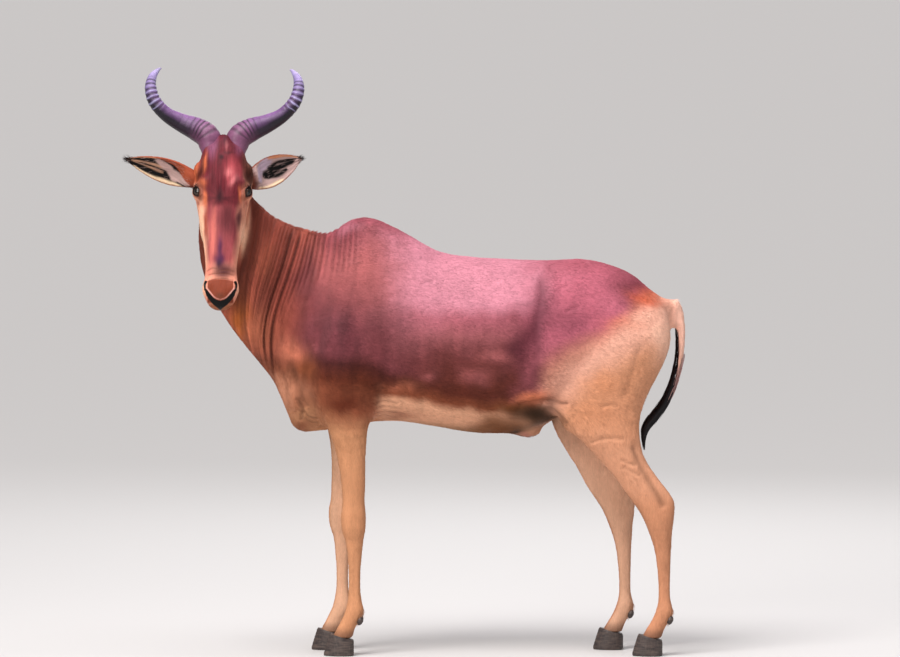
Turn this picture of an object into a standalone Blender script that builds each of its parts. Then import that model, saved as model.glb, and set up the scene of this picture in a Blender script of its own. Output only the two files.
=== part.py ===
"""A hartebeest bull (kongoni), life size, standing on four hooves with its head turned to its left.

The animal faces -X, its left side is -Y, up is +Z, and the floor is z = 0. Lengths are in metres.
Each body mass is a loft of oval sections. The masses are fused, smoothed and thinned to one flesh mesh,
which thin gaps then part into trunk, neck, head and legs. Horns, ears, eyes, hooves and tail are pieces of
their own, let into the flesh with the same small gap.
"""

import math

import bmesh
import bpy
import numpy as np
from mathutils import Matrix, Vector

# Driving sizes. The stations below put the withers 1.20 m above the floor.
HEAD_LENGTH = 0.504
EAR_LENGTH = 0.212
EYE_RADIUS = 0.0205
GAP = 0.0003  # between touching pieces

# Pose
HEAD_PITCH = math.radians(66)  # the face's slope below the level
HEAD_ROLL = math.radians(0.7)
MUZZLE_TIP = Vector((-0.6505, -0.400, 0.985))
FORE_STRIDE = -0.036  # how far the right foreleg stands ahead of the left one
HIND_STRIDE = -0.105
FORE_STRIDE_TOP = 0.74  # the height where the leg starts to swing; at half this height the stride is full
HIND_STRIDE_TOP = 0.84

# Mesh fineness
VOXEL = 0.0095
RING_SIDES = 28
RINGS_PER_STATION = 4
FLESH_TRIANGLES = 3650
FAR = 3.0  # larger than the animal, for cutters

SMOOTH_FACTOR = 0.6
SMOOTH_ROUNDS = 16
FIRM_LEG_TOP = 0.44  # below it the legs are hardly smoothed
FIRM_HEAD_RADIUS = 0.20  # nor is the head, this far from its middle
HEAD_MIDDLE = (0.25, 0.0, -0.05)  # head frame
LEAST_SOFT = 0.10

LEFT, RIGHT = -1, 1  # sign of Y

# Trunk: X, top Z, bottom Z, half width, narrowing of the upper half
TRUNK = (
    (-0.475, 0.880, 0.690, 0.056, 0.00),
    (-0.441, 0.975, 0.616, 0.096, -0.05),
    (-0.386, 1.130, 0.610, 0.128, -0.15),
    (-0.317, 1.191, 0.618, 0.146, -0.30),
    (-0.253, 1.204, 0.633, 0.155, -0.34),
    (-0.165, 1.175, 0.637, 0.167, -0.26),
    (-0.055, 1.114, 0.620, 0.181, -0.14),
    (0.055, 1.098, 0.604, 0.189, -0.08),
    (0.165, 1.092, 0.608, 0.188, -0.08),
    (0.248, 1.090, 0.634, 0.177, -0.10),
    (0.344, 1.094, 0.686, 0.162, -0.16),
    (0.441, 1.066, 0.713, 0.150, -0.20),
    (0.523, 1.011, 0.755, 0.120, -0.20),
    (0.575, 0.972, 0.830, 0.068, -0.10),
)

# Neck: centre X, Y, Z, half depth, half width, lean of the section's upper end towards +X
NECK = (
    (-0.330, 0.000, 0.900, 0.260, 0.120, 0.10),
    (-0.419, 0.000, 0.905, 0.262, 0.118, 0.18),
    (-0.477, -0.004, 0.964, 0.216, 0.100, 0.205),
    (-0.537, -0.018, 1.017, 0.188, 0.086, 0.28),
    (-0.587, -0.045, 1.073, 0.167, 0.078, 0.35),
    (-0.627, -0.085, 1.135, 0.144, 0.074, 0.44),
    (-0.648, -0.130, 1.205, 0.115, 0.070, 0.50),
    (-0.652, -0.165, 1.262, 0.085, 0.062, 0.50),
)

# Foreleg: Z, front X, rear X, distance of the middle from the midline, half thickness
FORELEG = (
    (1.000, -0.360, -0.262, 0.064, 0.048),
    (0.930, -0.398, -0.238, 0.086, 0.060),
    (0.860, -0.430, -0.226, 0.098, 0.063),
    (0.780, -0.434, -0.218, 0.103, 0.062),
    (0.720, -0.415, -0.224, 0.104, 0.056),
    (0.670, -0.388, -0.236, 0.102, 0.049),
    (0.620, -0.366, -0.247, 0.099, 0.042),
    (0.560, -0.346, -0.253, 0.094, 0.036),
    (0.500, -0.333, -0.256, 0.091, 0.031),
    (0.430, -0.326, -0.259, 0.088, 0.028),
    (0.385, -0.330, -0.256, 0.086, 0.032),
    (0.345, -0.327, -0.258, 0.085, 0.031),
    (0.305, -0.316, -0.264, 0.084, 0.024),
    (0.240, -0.310, -0.270, 0.083, 0.0185),
    (0.170, -0.310, -0.270, 0.082, 0.0185),
    (0.125, -0.318, -0.262, 0.081, 0.0265),
    (0.100, -0.329, -0.270, 0.080, 0.0260),
    (0.075, -0.342, -0.286, 0.080, 0.0245),
    (0.045, -0.359, -0.293, 0.080, 0.0280),
)

# Hind leg, in the same terms
HINDLEG = (
    (1.040, 0.380, 0.450, 0.036, 0.026),
    (1.000, 0.340, 0.515, 0.060, 0.050),
    (0.945, 0.306, 0.572, 0.080, 0.069),
    (0.870, 0.292, 0.584, 0.092, 0.079),
    (0.800, 0.281, 0.562, 0.100, 0.076),
    (0.720, 0.270, 0.520, 0.109, 0.066),
    (0.660, 0.284, 0.501, 0.114, 0.057),
    (0.600, 0.322, 0.500, 0.116, 0.049),
    (0.550, 0.369, 0.512, 0.112, 0.041),
    (0.500, 0.416, 0.543, 0.107, 0.034),
    (0.455, 0.449, 0.576, 0.103, 0.030),
    (0.425, 0.471, 0.592, 0.100, 0.030),
    (0.385, 0.497, 0.591, 0.098, 0.033),
    (0.345, 0.515, 0.586, 0.095, 0.031),
    (0.290, 0.532, 0.583, 0.092, 0.023),
    (0.220, 0.541, 0.581, 0.090, 0.0190),
    (0.160, 0.543, 0.581, 0.088, 0.0195),
    (0.125, 0.536, 0.589, 0.086, 0.0270),
    (0.100, 0.525, 0.583, 0.085, 0.0265),
    (0.075, 0.510, 0.566, 0.085, 0.0245),
    (0.045, 0.492, 0.556, 0.085, 0.0280),
)

# Head, in its own frame: share of the length from muzzle to poll, height of the face line, depth below it,
# half width, widening of the upper half
HEAD = (
    (0.000, -0.026, 0.030, 0.017, 0.05),
    (0.020, -0.012, 0.056, 0.031, 0.05),
    (0.055, -0.004, 0.075, 0.041, 0.06),
    (0.105, 0.000, 0.083, 0.0490, 0.08),
    (0.175, 0.002, 0.085, 0.0475, 0.08),
    (0.255, 0.004, 0.093, 0.0460, 0.08),
    (0.350, 0.007, 0.107, 0.0495, 0.09),
    (0.465, 0.011, 0.131, 0.0580, 0.12),
    (0.565, 0.018, 0.155, 0.0670, 0.12),
    (0.645, 0.025, 0.168, 0.0745, 0.10),
    (0.720, 0.029, 0.160, 0.0760, 0.02),
    (0.800, 0.031, 0.132, 0.0690, -0.05),
    (0.880, 0.029, 0.098, 0.0630, -0.08),
    (0.955, 0.021, 0.068, 0.0500, -0.05),
    (1.000, 0.010, 0.040, 0.0280, 0.00),
)

# Rounded masses: centre X, Y, Z and radii; a mass off the midline is made on both sides
BODY_MASSES = (
    ("sheath", (0.185, 0.0, 0.612), (0.050, 0.022, 0.024)),
    ("brisket", (-0.425, 0.0, 0.665), (0.055, 0.062, 0.062)),
    ("shoulder_point", (-0.400, 0.092, 0.810), (0.060, 0.052, 0.085)),
    ("stifle", (0.318, 0.112, 0.690), (0.060, 0.048, 0.085)),
)

# Head masses in the head's frame: along, across, out of the face; then their radii in the same order
HEAD_MASSES = (
    ("orbit", (0.336, 0.058, -0.016), (0.030, 0.028, 0.029)),
    ("cheek", (0.285, 0.038, -0.090), (0.085, 0.027, 0.060)),
    ("nostril", (0.062, 0.030, -0.028), (0.032, 0.0235, 0.030)),
    ("pedicle", (0.465, 0.026, -0.010), (0.045, 0.036, 0.036)),
)
CHIN = (("chin", (0.040, 0.0, -0.068), (0.030, 0.029, 0.019)),)

EYE_CENTRE = (0.332, 0.0610, -0.0065)

# Horn centre line in the head's frame, then radius: along the face, across, out of the face
HORN = (
    (0.450, 0.036, -0.022, 0.0290),
    (0.492, 0.0395, -0.021, 0.0335),
    (0.523, 0.074, -0.024, 0.0325),
    (0.541, 0.117, -0.022, 0.0255),
    (0.560, 0.158, -0.008, 0.0200),
    (0.592, 0.190, 0.004, 0.0180),
    (0.632, 0.202, 0.002, 0.0158),
    (0.672, 0.200, -0.018, 0.0125),
    (0.708, 0.187, -0.046, 0.0070),
    (0.722, 0.179, -0.060, 0.0030),
)
HORN_RING_DEPTH = 0.030  # of the radius
HORN_RINGED_SHARE = 0.80  # of the length, from the base
HORN_SIDES = 9
HORN_ROWS_PER_SPAN = 3

# Ear: share of length, half width, cup depth
EAR = (
    (-0.16, 0.019, 0.016),
    (0.02, 0.023, 0.021),
    (0.18, 0.034, 0.024),
    (0.38, 0.0425, 0.023),
    (0.58, 0.040, 0.018),
    (0.78, 0.028, 0.012),
    (0.92, 0.014, 0.007),
    (1.00, 0.004, 0.003),
)
EAR_ROOT = (0.378, 0.064, -0.048)  # head frame, on each side
EAR_WAYS = {  # where the tip and the opening point, the right ear out to the side and the left one back
    RIGHT: ((-0.95, 0.10, 0.29), (0.0, -0.80, -0.55)),
    LEFT: ((0.70, 0.66, 0.28), (0.60, -0.72, 0.10)),
}
EAR_WALL = 0.0045
EAR_RIM_INSET = 0.88  # width of the inside, of the whole
EAR_SIDES = 6  # points across the back
EAR_OPENS = 0.10  # share of the length where the cup starts to open
EAR_OPENING_SPAN = 0.30

# Tail centre line, X and Z, then radius
TAIL = (
    (0.560, 0.965, 0.020),
    (0.583, 0.968, 0.0190),
    (0.600, 0.946, 0.0165),
    (0.608, 0.905, 0.0145),
    (0.609, 0.860, 0.0132),
    (0.605, 0.812, 0.0125),
    (0.593, 0.762, 0.0120),
)
TUFT = (
    (0.5928, 0.7612, 0.0125),
    (0.578, 0.722, 0.0160),
    (0.559, 0.686, 0.0185),
    (0.533, 0.655, 0.0190),
    (0.512, 0.625, 0.0150),
    (0.506, 0.598, 0.0095),
    (0.505, 0.573, 0.0035),
)

# Hooves
CORONET_HEIGHT = 0.050
CORONET_SLOPE = math.radians(16)
FORE_CORONET_X = -0.325
HIND_CORONET_X = 0.524
CLAW_HALF_LENGTH = 0.033  # at the coronet
CLAW_TOE_REACH = 0.019  # how far the sole's toe stands ahead of the coronet's
CLAW_WIDTH = 0.0245
CLAW_SPREAD = 0.003  # how much wider it is at the sole
CLAW_SPLIT = 0.0035  # between the two claws of a foot
CLAW_PLAN = ((0.0, 0.45), (0.12, 0.86), (0.36, 1.00), (0.64, 0.88), (0.87, 0.50), (1.0, 0.16))  # share heel to toe, width
CLAW_LEVELS = (0.0, 0.5, 1.0)  # share of the height, from the sole
DEWCLAW_RADII = (0.0085, 0.0085, 0.0135)
DEWCLAW_OUT = 0.0135  # from the leg's middle
DEWCLAW_LEAN = math.radians(20)
FORE_DEWCLAW = (-0.2745, 0.098)  # X, Z
HIND_DEWCLAW = (0.5780, 0.100)
FORE_FOOT_OUT = 0.080  # from the midline
HIND_FOOT_OUT = 0.085

# Where the flesh is parted
HEAD_CUT = (0.370, 0.0, -0.125)  # head frame
HEAD_CUT_LEAN = math.radians(22)
HEAD_CUT_REACH = 0.165
NECK_CUT = (-0.440, 0.0, 0.960)
NECK_CUT_LEAN = math.radians(23)

# Leg cuts: name, a point of the slanting plane over the leg, that plane's normal towards the leg, the X range, the
# bend where upper and lower part meet (X, Z), the way down the leg there, the right leg's stride, the coronet's X,
# the dewclaws' X and Z, and the foot's distance from the midline
LEG_CUTS = (
    (
        "foreleg",
        (-0.310, 0.045, 0.618),
        (0.0, 0.66, -0.75),
        (-0.60, -0.234),
        (-0.290, 0.365),
        (0.0, 0.0, -1.0),
        FORE_STRIDE,
        FORE_CORONET_X,
        FORE_DEWCLAW,
        FORE_FOOT_OUT,
    ),
    (
        "hindleg",
        (0.265, 0.0, 0.715),
        (0.52, 0.0, -0.85),
        (0.272, 1.20),
        (0.550, 0.385),
        (0.25, 0.0, -0.968),
        HIND_STRIDE,
        HIND_CORONET_X,
        HIND_DEWCLAW,
        HIND_FOOT_OUT,
    ),
)
STRIDE_SHARE_AT_TOP = 0.4  # of the stride, where a leg leaves the trunk

# Colours, linear RGB
COLOURS = {
    "saddle": (0.34, 0.105, 0.075, 1.0),
    "tan": (0.56, 0.29, 0.16, 1.0),
    "neck": (0.30, 0.105, 0.055, 1.0),
    "horn": (0.050, 0.040, 0.045, 1.0),
    "hoof": (0.030, 0.025, 0.023, 1.0),
    "eye": (0.020, 0.010, 0.007, 1.0),
    "black": (0.020, 0.016, 0.016, 1.0),
}
ROUGHNESS = {"horn": 0.45, "hoof": 0.50, "eye": 0.08}
COAT_ROUGHNESS = 0.65

# ---------------------------------------------------------------- scene and materials


def clear_scene():
    for obj in list(bpy.data.objects):
        bpy.data.objects.remove(obj)


def new_collection(name):
    collection = bpy.data.collections.new(name)
    bpy.context.scene.collection.children.link(collection)
    return collection


def material(name):
    found = bpy.data.materials.get(name)
    if found:
        return found
    made = bpy.data.materials.new(name)
    made.use_nodes = True
    shader = made.node_tree.nodes["Principled BSDF"]
    shader.inputs["Base Color"].default_value = COLOURS[name]
    shader.inputs["Roughness"].default_value = ROUGHNESS.get(name, COAT_ROUGHNESS)
    shader.inputs["Metallic"].default_value = 0.0
    return made


def add_object(name, mesh, collection, finish=None):
    obj = bpy.data.objects.new(name, mesh)
    collection.objects.link(obj)
    if finish:
        mesh.materials.clear()
        mesh.materials.append(material(finish))
    return obj


def add_cutter(name, mesh):
    """A helper that isn't part of the animal."""
    obj = add_object(name, mesh, CUTTERS)
    obj.hide_render = True
    obj.display_type = "WIRE"
    return obj


def evaluated_mesh(obj):
    """A plain mesh of the object with its modifiers carried out."""
    bpy.context.view_layer.update()
    graph = bpy.context.evaluated_depsgraph_get()
    return bpy.data.meshes.new_from_object(obj.evaluated_get(graph))


# ---------------------------------------------------------------- shapes


def catmull_rom(rows, per_span):
    """Rows of numbers passed through smoothly, with per_span rows for each span between two of them."""
    rows = np.array(rows, float)
    padded = np.vstack([2 * rows[0] - rows[1], rows, 2 * rows[-1] - rows[-2]])
    out = []
    for i in range(len(rows) - 1):
        before, start, end, after = padded[i : i + 4]
        for t in np.linspace(0, 1, per_span, endpoint=False):
            out.append(
                0.5
                * (
                    2 * start
                    + (end - before) * t
                    + (2 * before - 5 * start + 4 * end - after) * t**2
                    + (3 * start - before - 3 * end + after) * t**3
                )
            )
    out.append(rows[-1])
    return np.array(out)


def loft(rings):
    """A closed mesh through rings of equal length, with a flat fan on each end."""
    shape = bmesh.new()
    loops = [[shape.verts.new(p) for p in ring] for ring in rings]
    sides = len(loops[0])
    for here, there in zip(loops, loops[1:]):
        for k in range(sides):
            shape.faces.new((here[k], here[(k + 1) % sides], there[(k + 1) % sides], there[k]))
    for ring in (loops[0], loops[-1]):
        middle = shape.verts.new(sum((v.co for v in ring), Vector()) / sides)
        for k in range(sides):
            shape.faces.new((ring[k], ring[(k + 1) % sides], middle))
    bmesh.ops.triangulate(shape, faces=shape.faces)
    bmesh.ops.recalc_face_normals(shape, faces=shape.faces)
    mesh = bpy.data.meshes.new("loft")
    shape.to_mesh(mesh)
    shape.free()
    return mesh


def oval(centre, up, side, taper=0.0, squareness=1.0, sides=RING_SIDES):
    """Points round an oval. up and side are its half axes, and taper widens it towards up."""
    points = []
    for k in range(sides):
        angle = 2 * math.pi * k / sides
        rise, reach = math.cos(angle), math.sin(angle)
        rise = math.copysign(abs(rise) ** squareness, rise)
        reach = math.copysign(abs(reach) ** squareness, reach)
        points.append(Vector(centre) + Vector(up) * rise + Vector(side) * reach * (1 + taper * rise))
    return points


def ellipsoid(centre, radii, turn=None, segments=20, rings=12):
    """A mesh ball of three radii. turn is the 3x3 frame that they lie along."""
    shape = bmesh.new()
    bmesh.ops.create_uvsphere(shape, u_segments=segments, v_segments=rings, radius=1.0)
    frame = (turn or Matrix.Identity(3)).to_4x4()
    place = Matrix.Translation(centre) @ frame @ Matrix.Diagonal((*radii, 1))
    bmesh.ops.transform(shape, verts=shape.verts, matrix=place)
    bmesh.ops.recalc_face_normals(shape, faces=shape.faces)
    mesh = bpy.data.meshes.new("ellipsoid")
    shape.to_mesh(mesh)
    shape.free()
    return mesh


def tube(stations, sides=RING_SIDES, per_span=RINGS_PER_STATION, swell=None):
    """A round tube along (x, y, z, radius) stations. swell(share) scales the radius along it."""
    rows = catmull_rom(stations, per_span)
    centres = [Vector(r[:3]) for r in rows]
    count = len(rows)
    side = None
    rings = []
    for i, row in enumerate(rows):
        ahead = (centres[min(i + 1, count - 1)] - centres[max(i - 1, 0)]).normalized()
        if side is None:
            side = ahead.cross(Vector((0.0, 0.3, 1.0))).normalized()
        side = (side - ahead * side.dot(ahead)).normalized()
        up = ahead.cross(side)
        radius = row[3] * (swell(i / (count - 1)) if swell else 1.0)
        rings.append(oval(centres[i], up * radius, side * radius, sides=sides))
    return loft(rings)


# ---------------------------------------------------------------- body masses


def trunk_mesh():
    rings = []
    for x, top, bottom, half_width, taper in catmull_rom(TRUNK, RINGS_PER_STATION):
        middle = (top + bottom) / 2
        rings.append(oval((x, 0, middle), (0, 0, (top - bottom) / 2), (0, half_width, 0), taper, 0.94))
    return loft(rings)


def neck_mesh():
    rows = catmull_rom(NECK, RINGS_PER_STATION)
    rings = []
    for i, (x, y, z, half_depth, half_width, lean) in enumerate(rows):
        ahead = Vector(rows[min(i + 1, len(rows) - 1)][:3]) - Vector(rows[max(i - 1, 0)][:3])
        up = Vector((math.sin(lean), 0.0, math.cos(lean)))
        side = up.cross(ahead).normalized()
        rings.append(oval((x, y, z), up * half_depth, side * half_width, -0.12))
    return loft(rings)


def leg_mesh(stations, sign, stride, stride_top):
    """A leg of level sections. The right one swings ahead by the stride."""
    rings = []
    for z, front, rear, out, half in catmull_rom(stations, RINGS_PER_STATION):
        share = min(max((stride_top - z) / (stride_top / 2), 0.0), 1.0)
        swing = stride * share * share * (3 - 2 * share) if sign == RIGHT else 0.0
        middle = ((front + rear) / 2 + swing, sign * out, z)
        rings.append(oval(middle, ((rear - front) / 2, 0, 0), (0, half, 0), 0.0, 0.92))
    return loft(rings)


def head_frame():
    """Columns: along the face from muzzle to poll, across to the animal's left, and out of the face."""
    along = Vector((0.0, math.cos(HEAD_PITCH), math.sin(HEAD_PITCH)))
    across = Vector((1.0, 0.0, 0.0))
    out = across.cross(along)
    frame = Matrix((along, across, out)).transposed()
    return Matrix.Rotation(HEAD_ROLL, 3, "Y") @ frame


def on_head(along, across, out):
    """A point of the head's frame in the animal's frame."""
    return MUZZLE_TIP + HEAD_FRAME @ Vector((along, across, out))


def head_mesh():
    along_axis, across_axis, out_axis = HEAD_FRAME.transposed()
    rings = []
    for share, face_line, depth, half_width, taper in catmull_rom(HEAD, RINGS_PER_STATION):
        centre = on_head(share * HEAD_LENGTH, 0, face_line - depth / 2)
        rings.append(oval(centre, out_axis * depth / 2, across_axis * half_width, taper, 0.84))
    return loft(rings)


def both_sides(place):
    """The place and its mirror image across the second coordinate, or the place alone on the midline."""
    first, across, third = place
    return [place] if across == 0 else [(first, sign * across, third) for sign in (LEFT, RIGHT)]


def flesh_masses():
    meshes = [trunk_mesh(), neck_mesh(), head_mesh()]
    for sign in (LEFT, RIGHT):
        meshes.append(leg_mesh(FORELEG, sign, FORE_STRIDE, FORE_STRIDE_TOP))
        meshes.append(leg_mesh(HINDLEG, sign, HIND_STRIDE, HIND_STRIDE_TOP))
    for _, place, radii in BODY_MASSES:
        meshes += [ellipsoid(p, radii) for p in both_sides(place)]
    for _, place, radii in HEAD_MASSES + CHIN:
        meshes += [ellipsoid(on_head(*p), radii, HEAD_FRAME) for p in both_sides(place)]
    return meshes


def joined(meshes):
    shape = bmesh.new()
    for mesh in meshes:
        shape.from_mesh(mesh)
        bpy.data.meshes.remove(mesh)
    mesh = bpy.data.meshes.new("joined")
    shape.to_mesh(mesh)
    shape.free()
    return mesh


def soft_weight(point):
    """How freely a point is smoothed: fully on the trunk and neck, little on the head and lower legs."""
    above_knee = min(max((point.z - FIRM_LEG_TOP) / 0.16, 0.0), 1.0)
    from_head = (point - on_head(*HEAD_MIDDLE)).length
    off_head = min(max((from_head - FIRM_HEAD_RADIUS) / 0.10, 0.0), 1.0)
    return max(above_knee * off_head, LEAST_SOFT)


def flesh_object():
    """All soft parts in one thinned mesh."""
    rough = add_cutter("rough_flesh", joined(flesh_masses()))
    remesh = rough.modifiers.new("fuse", "REMESH")
    remesh.mode = "VOXEL"
    remesh.voxel_size = VOXEL
    flesh = add_cutter("flesh", evaluated_mesh(rough))
    group = flesh.vertex_groups.new(name="soft")
    for vertex in flesh.data.vertices:
        group.add([vertex.index], soft_weight(vertex.co), "REPLACE")
    smooth = flesh.modifiers.new("smooth", "SMOOTH")
    smooth.factor = SMOOTH_FACTOR
    smooth.iterations = SMOOTH_ROUNDS
    smooth.vertex_group = group.name
    thinned = add_cutter("smooth_flesh", evaluated_mesh(flesh))
    triangles = sum(len(p.vertices) - 2 for p in thinned.data.polygons)
    thin = thinned.modifiers.new("thin", "DECIMATE")
    thin.ratio = FLESH_TRIANGLES / triangles
    thin.use_collapse_triangulate = True
    return add_cutter("whole_flesh", evaluated_mesh(thinned))


# ---------------------------------------------------------------- parting


def slab(name, point, normal, depth, half_width, half_height):
    """A box that stands on a plane, on its normal's side."""
    shape = bmesh.new()
    bmesh.ops.create_cube(shape, size=1.0)
    normal = Vector(normal).normalized()
    turn = normal.to_track_quat("Z", "Y").to_matrix().to_4x4()
    place = Matrix.Translation(Vector(point) + normal * depth / 2)
    size = Matrix.Diagonal((half_width * 2, half_height * 2, depth, 1))
    bmesh.ops.transform(shape, verts=shape.verts, matrix=place @ turn @ size)
    mesh = bpy.data.meshes.new(name)
    shape.to_mesh(mesh)
    shape.free()
    return add_cutter(name, mesh)


def half_space(name, point, normal):
    return slab(name, point, normal, FAR, FAR, FAR)


def carve(obj, tool, operation="DIFFERENCE"):
    cut = obj.modifiers.new(operation.lower(), "BOOLEAN")
    cut.operation = operation
    cut.solver = "EXACT"
    cut.object = tool
    return obj


def inflated(mesh, by):
    """A copy of a mesh with its faces moved out evenly."""
    shape = bmesh.new()
    shape.from_mesh(mesh)
    moved = [(v, v.co + v.normal * by * v.calc_shell_factor()) for v in shape.verts]
    for vertex, place in moved:
        vertex.co = place
    copy = bpy.data.meshes.new("inflated")
    shape.to_mesh(copy)
    shape.free()
    return copy


def leave_room(obj, tool):
    """Cuts tool out of obj, with the gap all round it."""
    return carve(obj, add_cutter(f"room_for_{tool.name}", inflated(evaluated_mesh(tool), GAP)))


def copy_of(name, obj, finish):
    return add_object(name, evaluated_mesh(obj), ANIMAL, finish)


def side_name(sign):
    return "left" if sign == LEFT else "right"


def part_head_and_neck(flesh, trunk):
    """Parts head and neck from the flesh, and takes them from the trunk."""
    plane_point = on_head(*HEAD_CUT)
    normal = HEAD_FRAME @ Vector((-math.sin(HEAD_CUT_LEAN), 0, math.cos(HEAD_CUT_LEAN)))
    head_space = slab("head_space", plane_point, normal, HEAD_LENGTH, HEAD_CUT_REACH, HEAD_LENGTH)
    head = carve(copy_of("head", flesh, "saddle"), head_space, "INTERSECT")
    neck_normal = Vector((-math.cos(NECK_CUT_LEAN), 0, math.sin(NECK_CUT_LEAN)))
    neck_space = half_space("neck_space", NECK_CUT, neck_normal)
    neck = carve(copy_of("neck", flesh, "neck"), neck_space, "INTERSECT")
    leave_room(neck, head_space)
    leave_room(trunk, neck_space)
    return head


def part_leg(flesh, trunk, cut, sign):
    """Parts one leg from the flesh, in an upper and a lower piece, and takes it from the trunk."""
    leg, point, normal, x_range, bend, bend_normal, stride, coronet_x, dewclaw_place, foot_out = cut
    name = f"{leg}_{side_name(sign)}"
    swing = stride if sign == RIGHT else 0.0
    ahead, behind = (x + swing * STRIDE_SHARE_AT_TOP for x in x_range)
    space = half_space(f"{name}_space", (point[0], sign * point[1], point[2]), (normal[0], sign * normal[1], normal[2]))
    limits = (
        half_space(f"{name}_side", (0, sign * GAP / 2, 0), (0, sign, 0)),
        half_space(f"{name}_ahead", (ahead, 0, 0), (1, 0, 0)),
        half_space(f"{name}_behind", (behind, 0, 0), (-1, 0, 0)),
    )
    for limit in limits:
        carve(space, limit, "INTERSECT")
    leave_room(trunk, space)
    down = Vector(bend_normal).normalized()
    bend_point = Vector((bend[0] + swing, 0, bend[1]))
    below = half_space(f"{name}_below", bend_point, down)
    above = half_space(f"{name}_above", bend_point - down * GAP, -down)
    coronet_normal = (math.sin(CORONET_SLOPE), 0, math.cos(CORONET_SLOPE))
    coronet = half_space(f"{name}_coronet", (coronet_x + swing, 0, CORONET_HEIGHT), coronet_normal)
    upper = carve(copy_of(f"{name}_upper", flesh, "tan"), space, "INTERSECT")
    carve(upper, above, "INTERSECT")
    lower = carve(copy_of(f"{name}_lower", flesh, "tan"), below, "INTERSECT")
    for limit in (*limits, coronet):
        carve(lower, limit, "INTERSECT")
    foot = (coronet_x + swing, sign * foot_out)
    for place, way in (("outer", sign), ("inner", -sign)):
        claw(f"{name}_{place}_claw", foot, way)
        leave_room(lower, dewclaw(f"{name}_{place}_dewclaw", (dewclaw_place[0] + swing, foot[1], dewclaw_place[1]), way))
    return upper, lower


# ---------------------------------------------------------------- horns, ears, eyes, tail, hooves


def horn_swell(share):
    """Radius factor of the horn's ringed part: each second row of points stands out, those between stand in."""
    if share > HORN_RINGED_SHARE:
        return 1.0
    row = round(share * (len(HORN) - 1) * HORN_ROWS_PER_SPAN)
    return 1 + HORN_RING_DEPTH * (1 if row % 2 else -1)


def horn(sign):
    """A bracket-shaped horn: out to the side, then up, then in and back at the tip."""
    stations = [(*on_head(along, -sign * across, out), radius) for along, across, out, radius in HORN]
    mesh = tube(stations, HORN_SIDES, HORN_ROWS_PER_SPAN, horn_swell)
    return add_object(f"horn_{side_name(sign)}", mesh, ANIMAL, "horn")


def ear(sign):
    """A leaf-shaped cup with a closed root."""
    tip_way, open_way = (Vector(way).normalized() for way in EAR_WAYS[sign])
    open_way = (open_way - tip_way * open_way.dot(tip_way)).normalized()
    wide_way = tip_way.cross(open_way)
    along, across, out = EAR_ROOT
    root = on_head(along, -sign * across, out)
    rings = []
    for share, half_width, cup in catmull_rom(EAR, 2):
        centre = root + tip_way * share * EAR_LENGTH
        opening = min(max((share - EAR_OPENS) / EAR_OPENING_SPAN, 0.0), 1.0)
        opening = opening * opening * (3 - 2 * opening)
        ring = []
        for k in range(EAR_SIDES):
            angle = math.pi * k / (EAR_SIDES - 1)
            ring.append(centre + wide_way * half_width * math.cos(angle) - open_way * cup * math.sin(angle))
        inner_cup = max(cup - EAR_WALL, 0.15 * cup)
        for k in range(1, EAR_SIDES - 1):
            angle = math.pi * (1 - k / (EAR_SIDES - 1))
            height = cup * 0.85 * (1 - opening) - inner_cup * opening
            reach = half_width * EAR_RIM_INSET * math.cos(angle)
            ring.append(centre + wide_way * reach + open_way * height * math.sin(angle))
        rings.append(ring)
    return add_object(f"ear_{side_name(sign)}", loft(rings), ANIMAL, "saddle")


def eye(sign):
    along, across, out = EYE_CENTRE
    mesh = ellipsoid(on_head(along, -sign * across, out), (EYE_RADIUS,) * 3, None, 12, 7)
    return add_object(f"eye_{side_name(sign)}", mesh, ANIMAL, "eye")


def tail_piece(name, stations, finish):
    rows = [(x, 0.0, z, radius) for x, z, radius in stations]
    return add_object(name, tube(rows, 9, 2), ANIMAL, finish)


def claw(name, foot, way):
    """One half of a cloven hoof, from the coronet down to its flat sole. way is the side of the foot it is on."""
    foot_x, foot_y = foot
    heel = foot_x + CLAW_HALF_LENGTH
    rings = []
    for level in CLAW_LEVELS:
        toe = foot_x - CLAW_HALF_LENGTH - CLAW_TOE_REACH * (1 - level)
        width = CLAW_WIDTH + CLAW_SPREAD * (1 - level)
        outer = [(heel + (toe - heel) * share, CLAW_SPLIT / 2 + width * part) for share, part in CLAW_PLAN]
        inner = [(heel + (toe - heel) * share, CLAW_SPLIT / 2) for share in (0.95, 0.5, 0.05)]
        ring = []
        for x, off in outer + inner:
            top = CORONET_HEIGHT - math.tan(CORONET_SLOPE) * (x - foot_x) - GAP / math.cos(CORONET_SLOPE)
            ring.append(Vector((x, foot_y + way * off, top * level)))
        rings.append(ring)
    return add_object(name, loft(rings), ANIMAL, "hoof")


def dewclaw(name, place, way):
    turn = Matrix.Rotation(DEWCLAW_LEAN, 3, "Y")
    mesh = ellipsoid((place[0], place[1] + way * DEWCLAW_OUT, place[2]), DEWCLAW_RADII, turn, 7, 4)
    return add_object(name, mesh, ANIMAL, "hoof")


def overall_box():
    points = [obj.matrix_world @ v.co for obj in ANIMAL.objects for v in evaluated_mesh(obj).vertices]
    low = Vector([min(p[axis] for p in points) for axis in range(3)])
    high = Vector([max(p[axis] for p in points) for axis in range(3)])
    return low, high


def centre_on_floor():
    """Moves everything so that the origin is at the middle of the animal's box, on the floor."""
    low, high = overall_box()
    shift = Vector((-(low.x + high.x) / 2, -(low.y + high.y) / 2, -low.z))
    for obj in bpy.data.objects:
        obj.location = shift
    return shift


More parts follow.
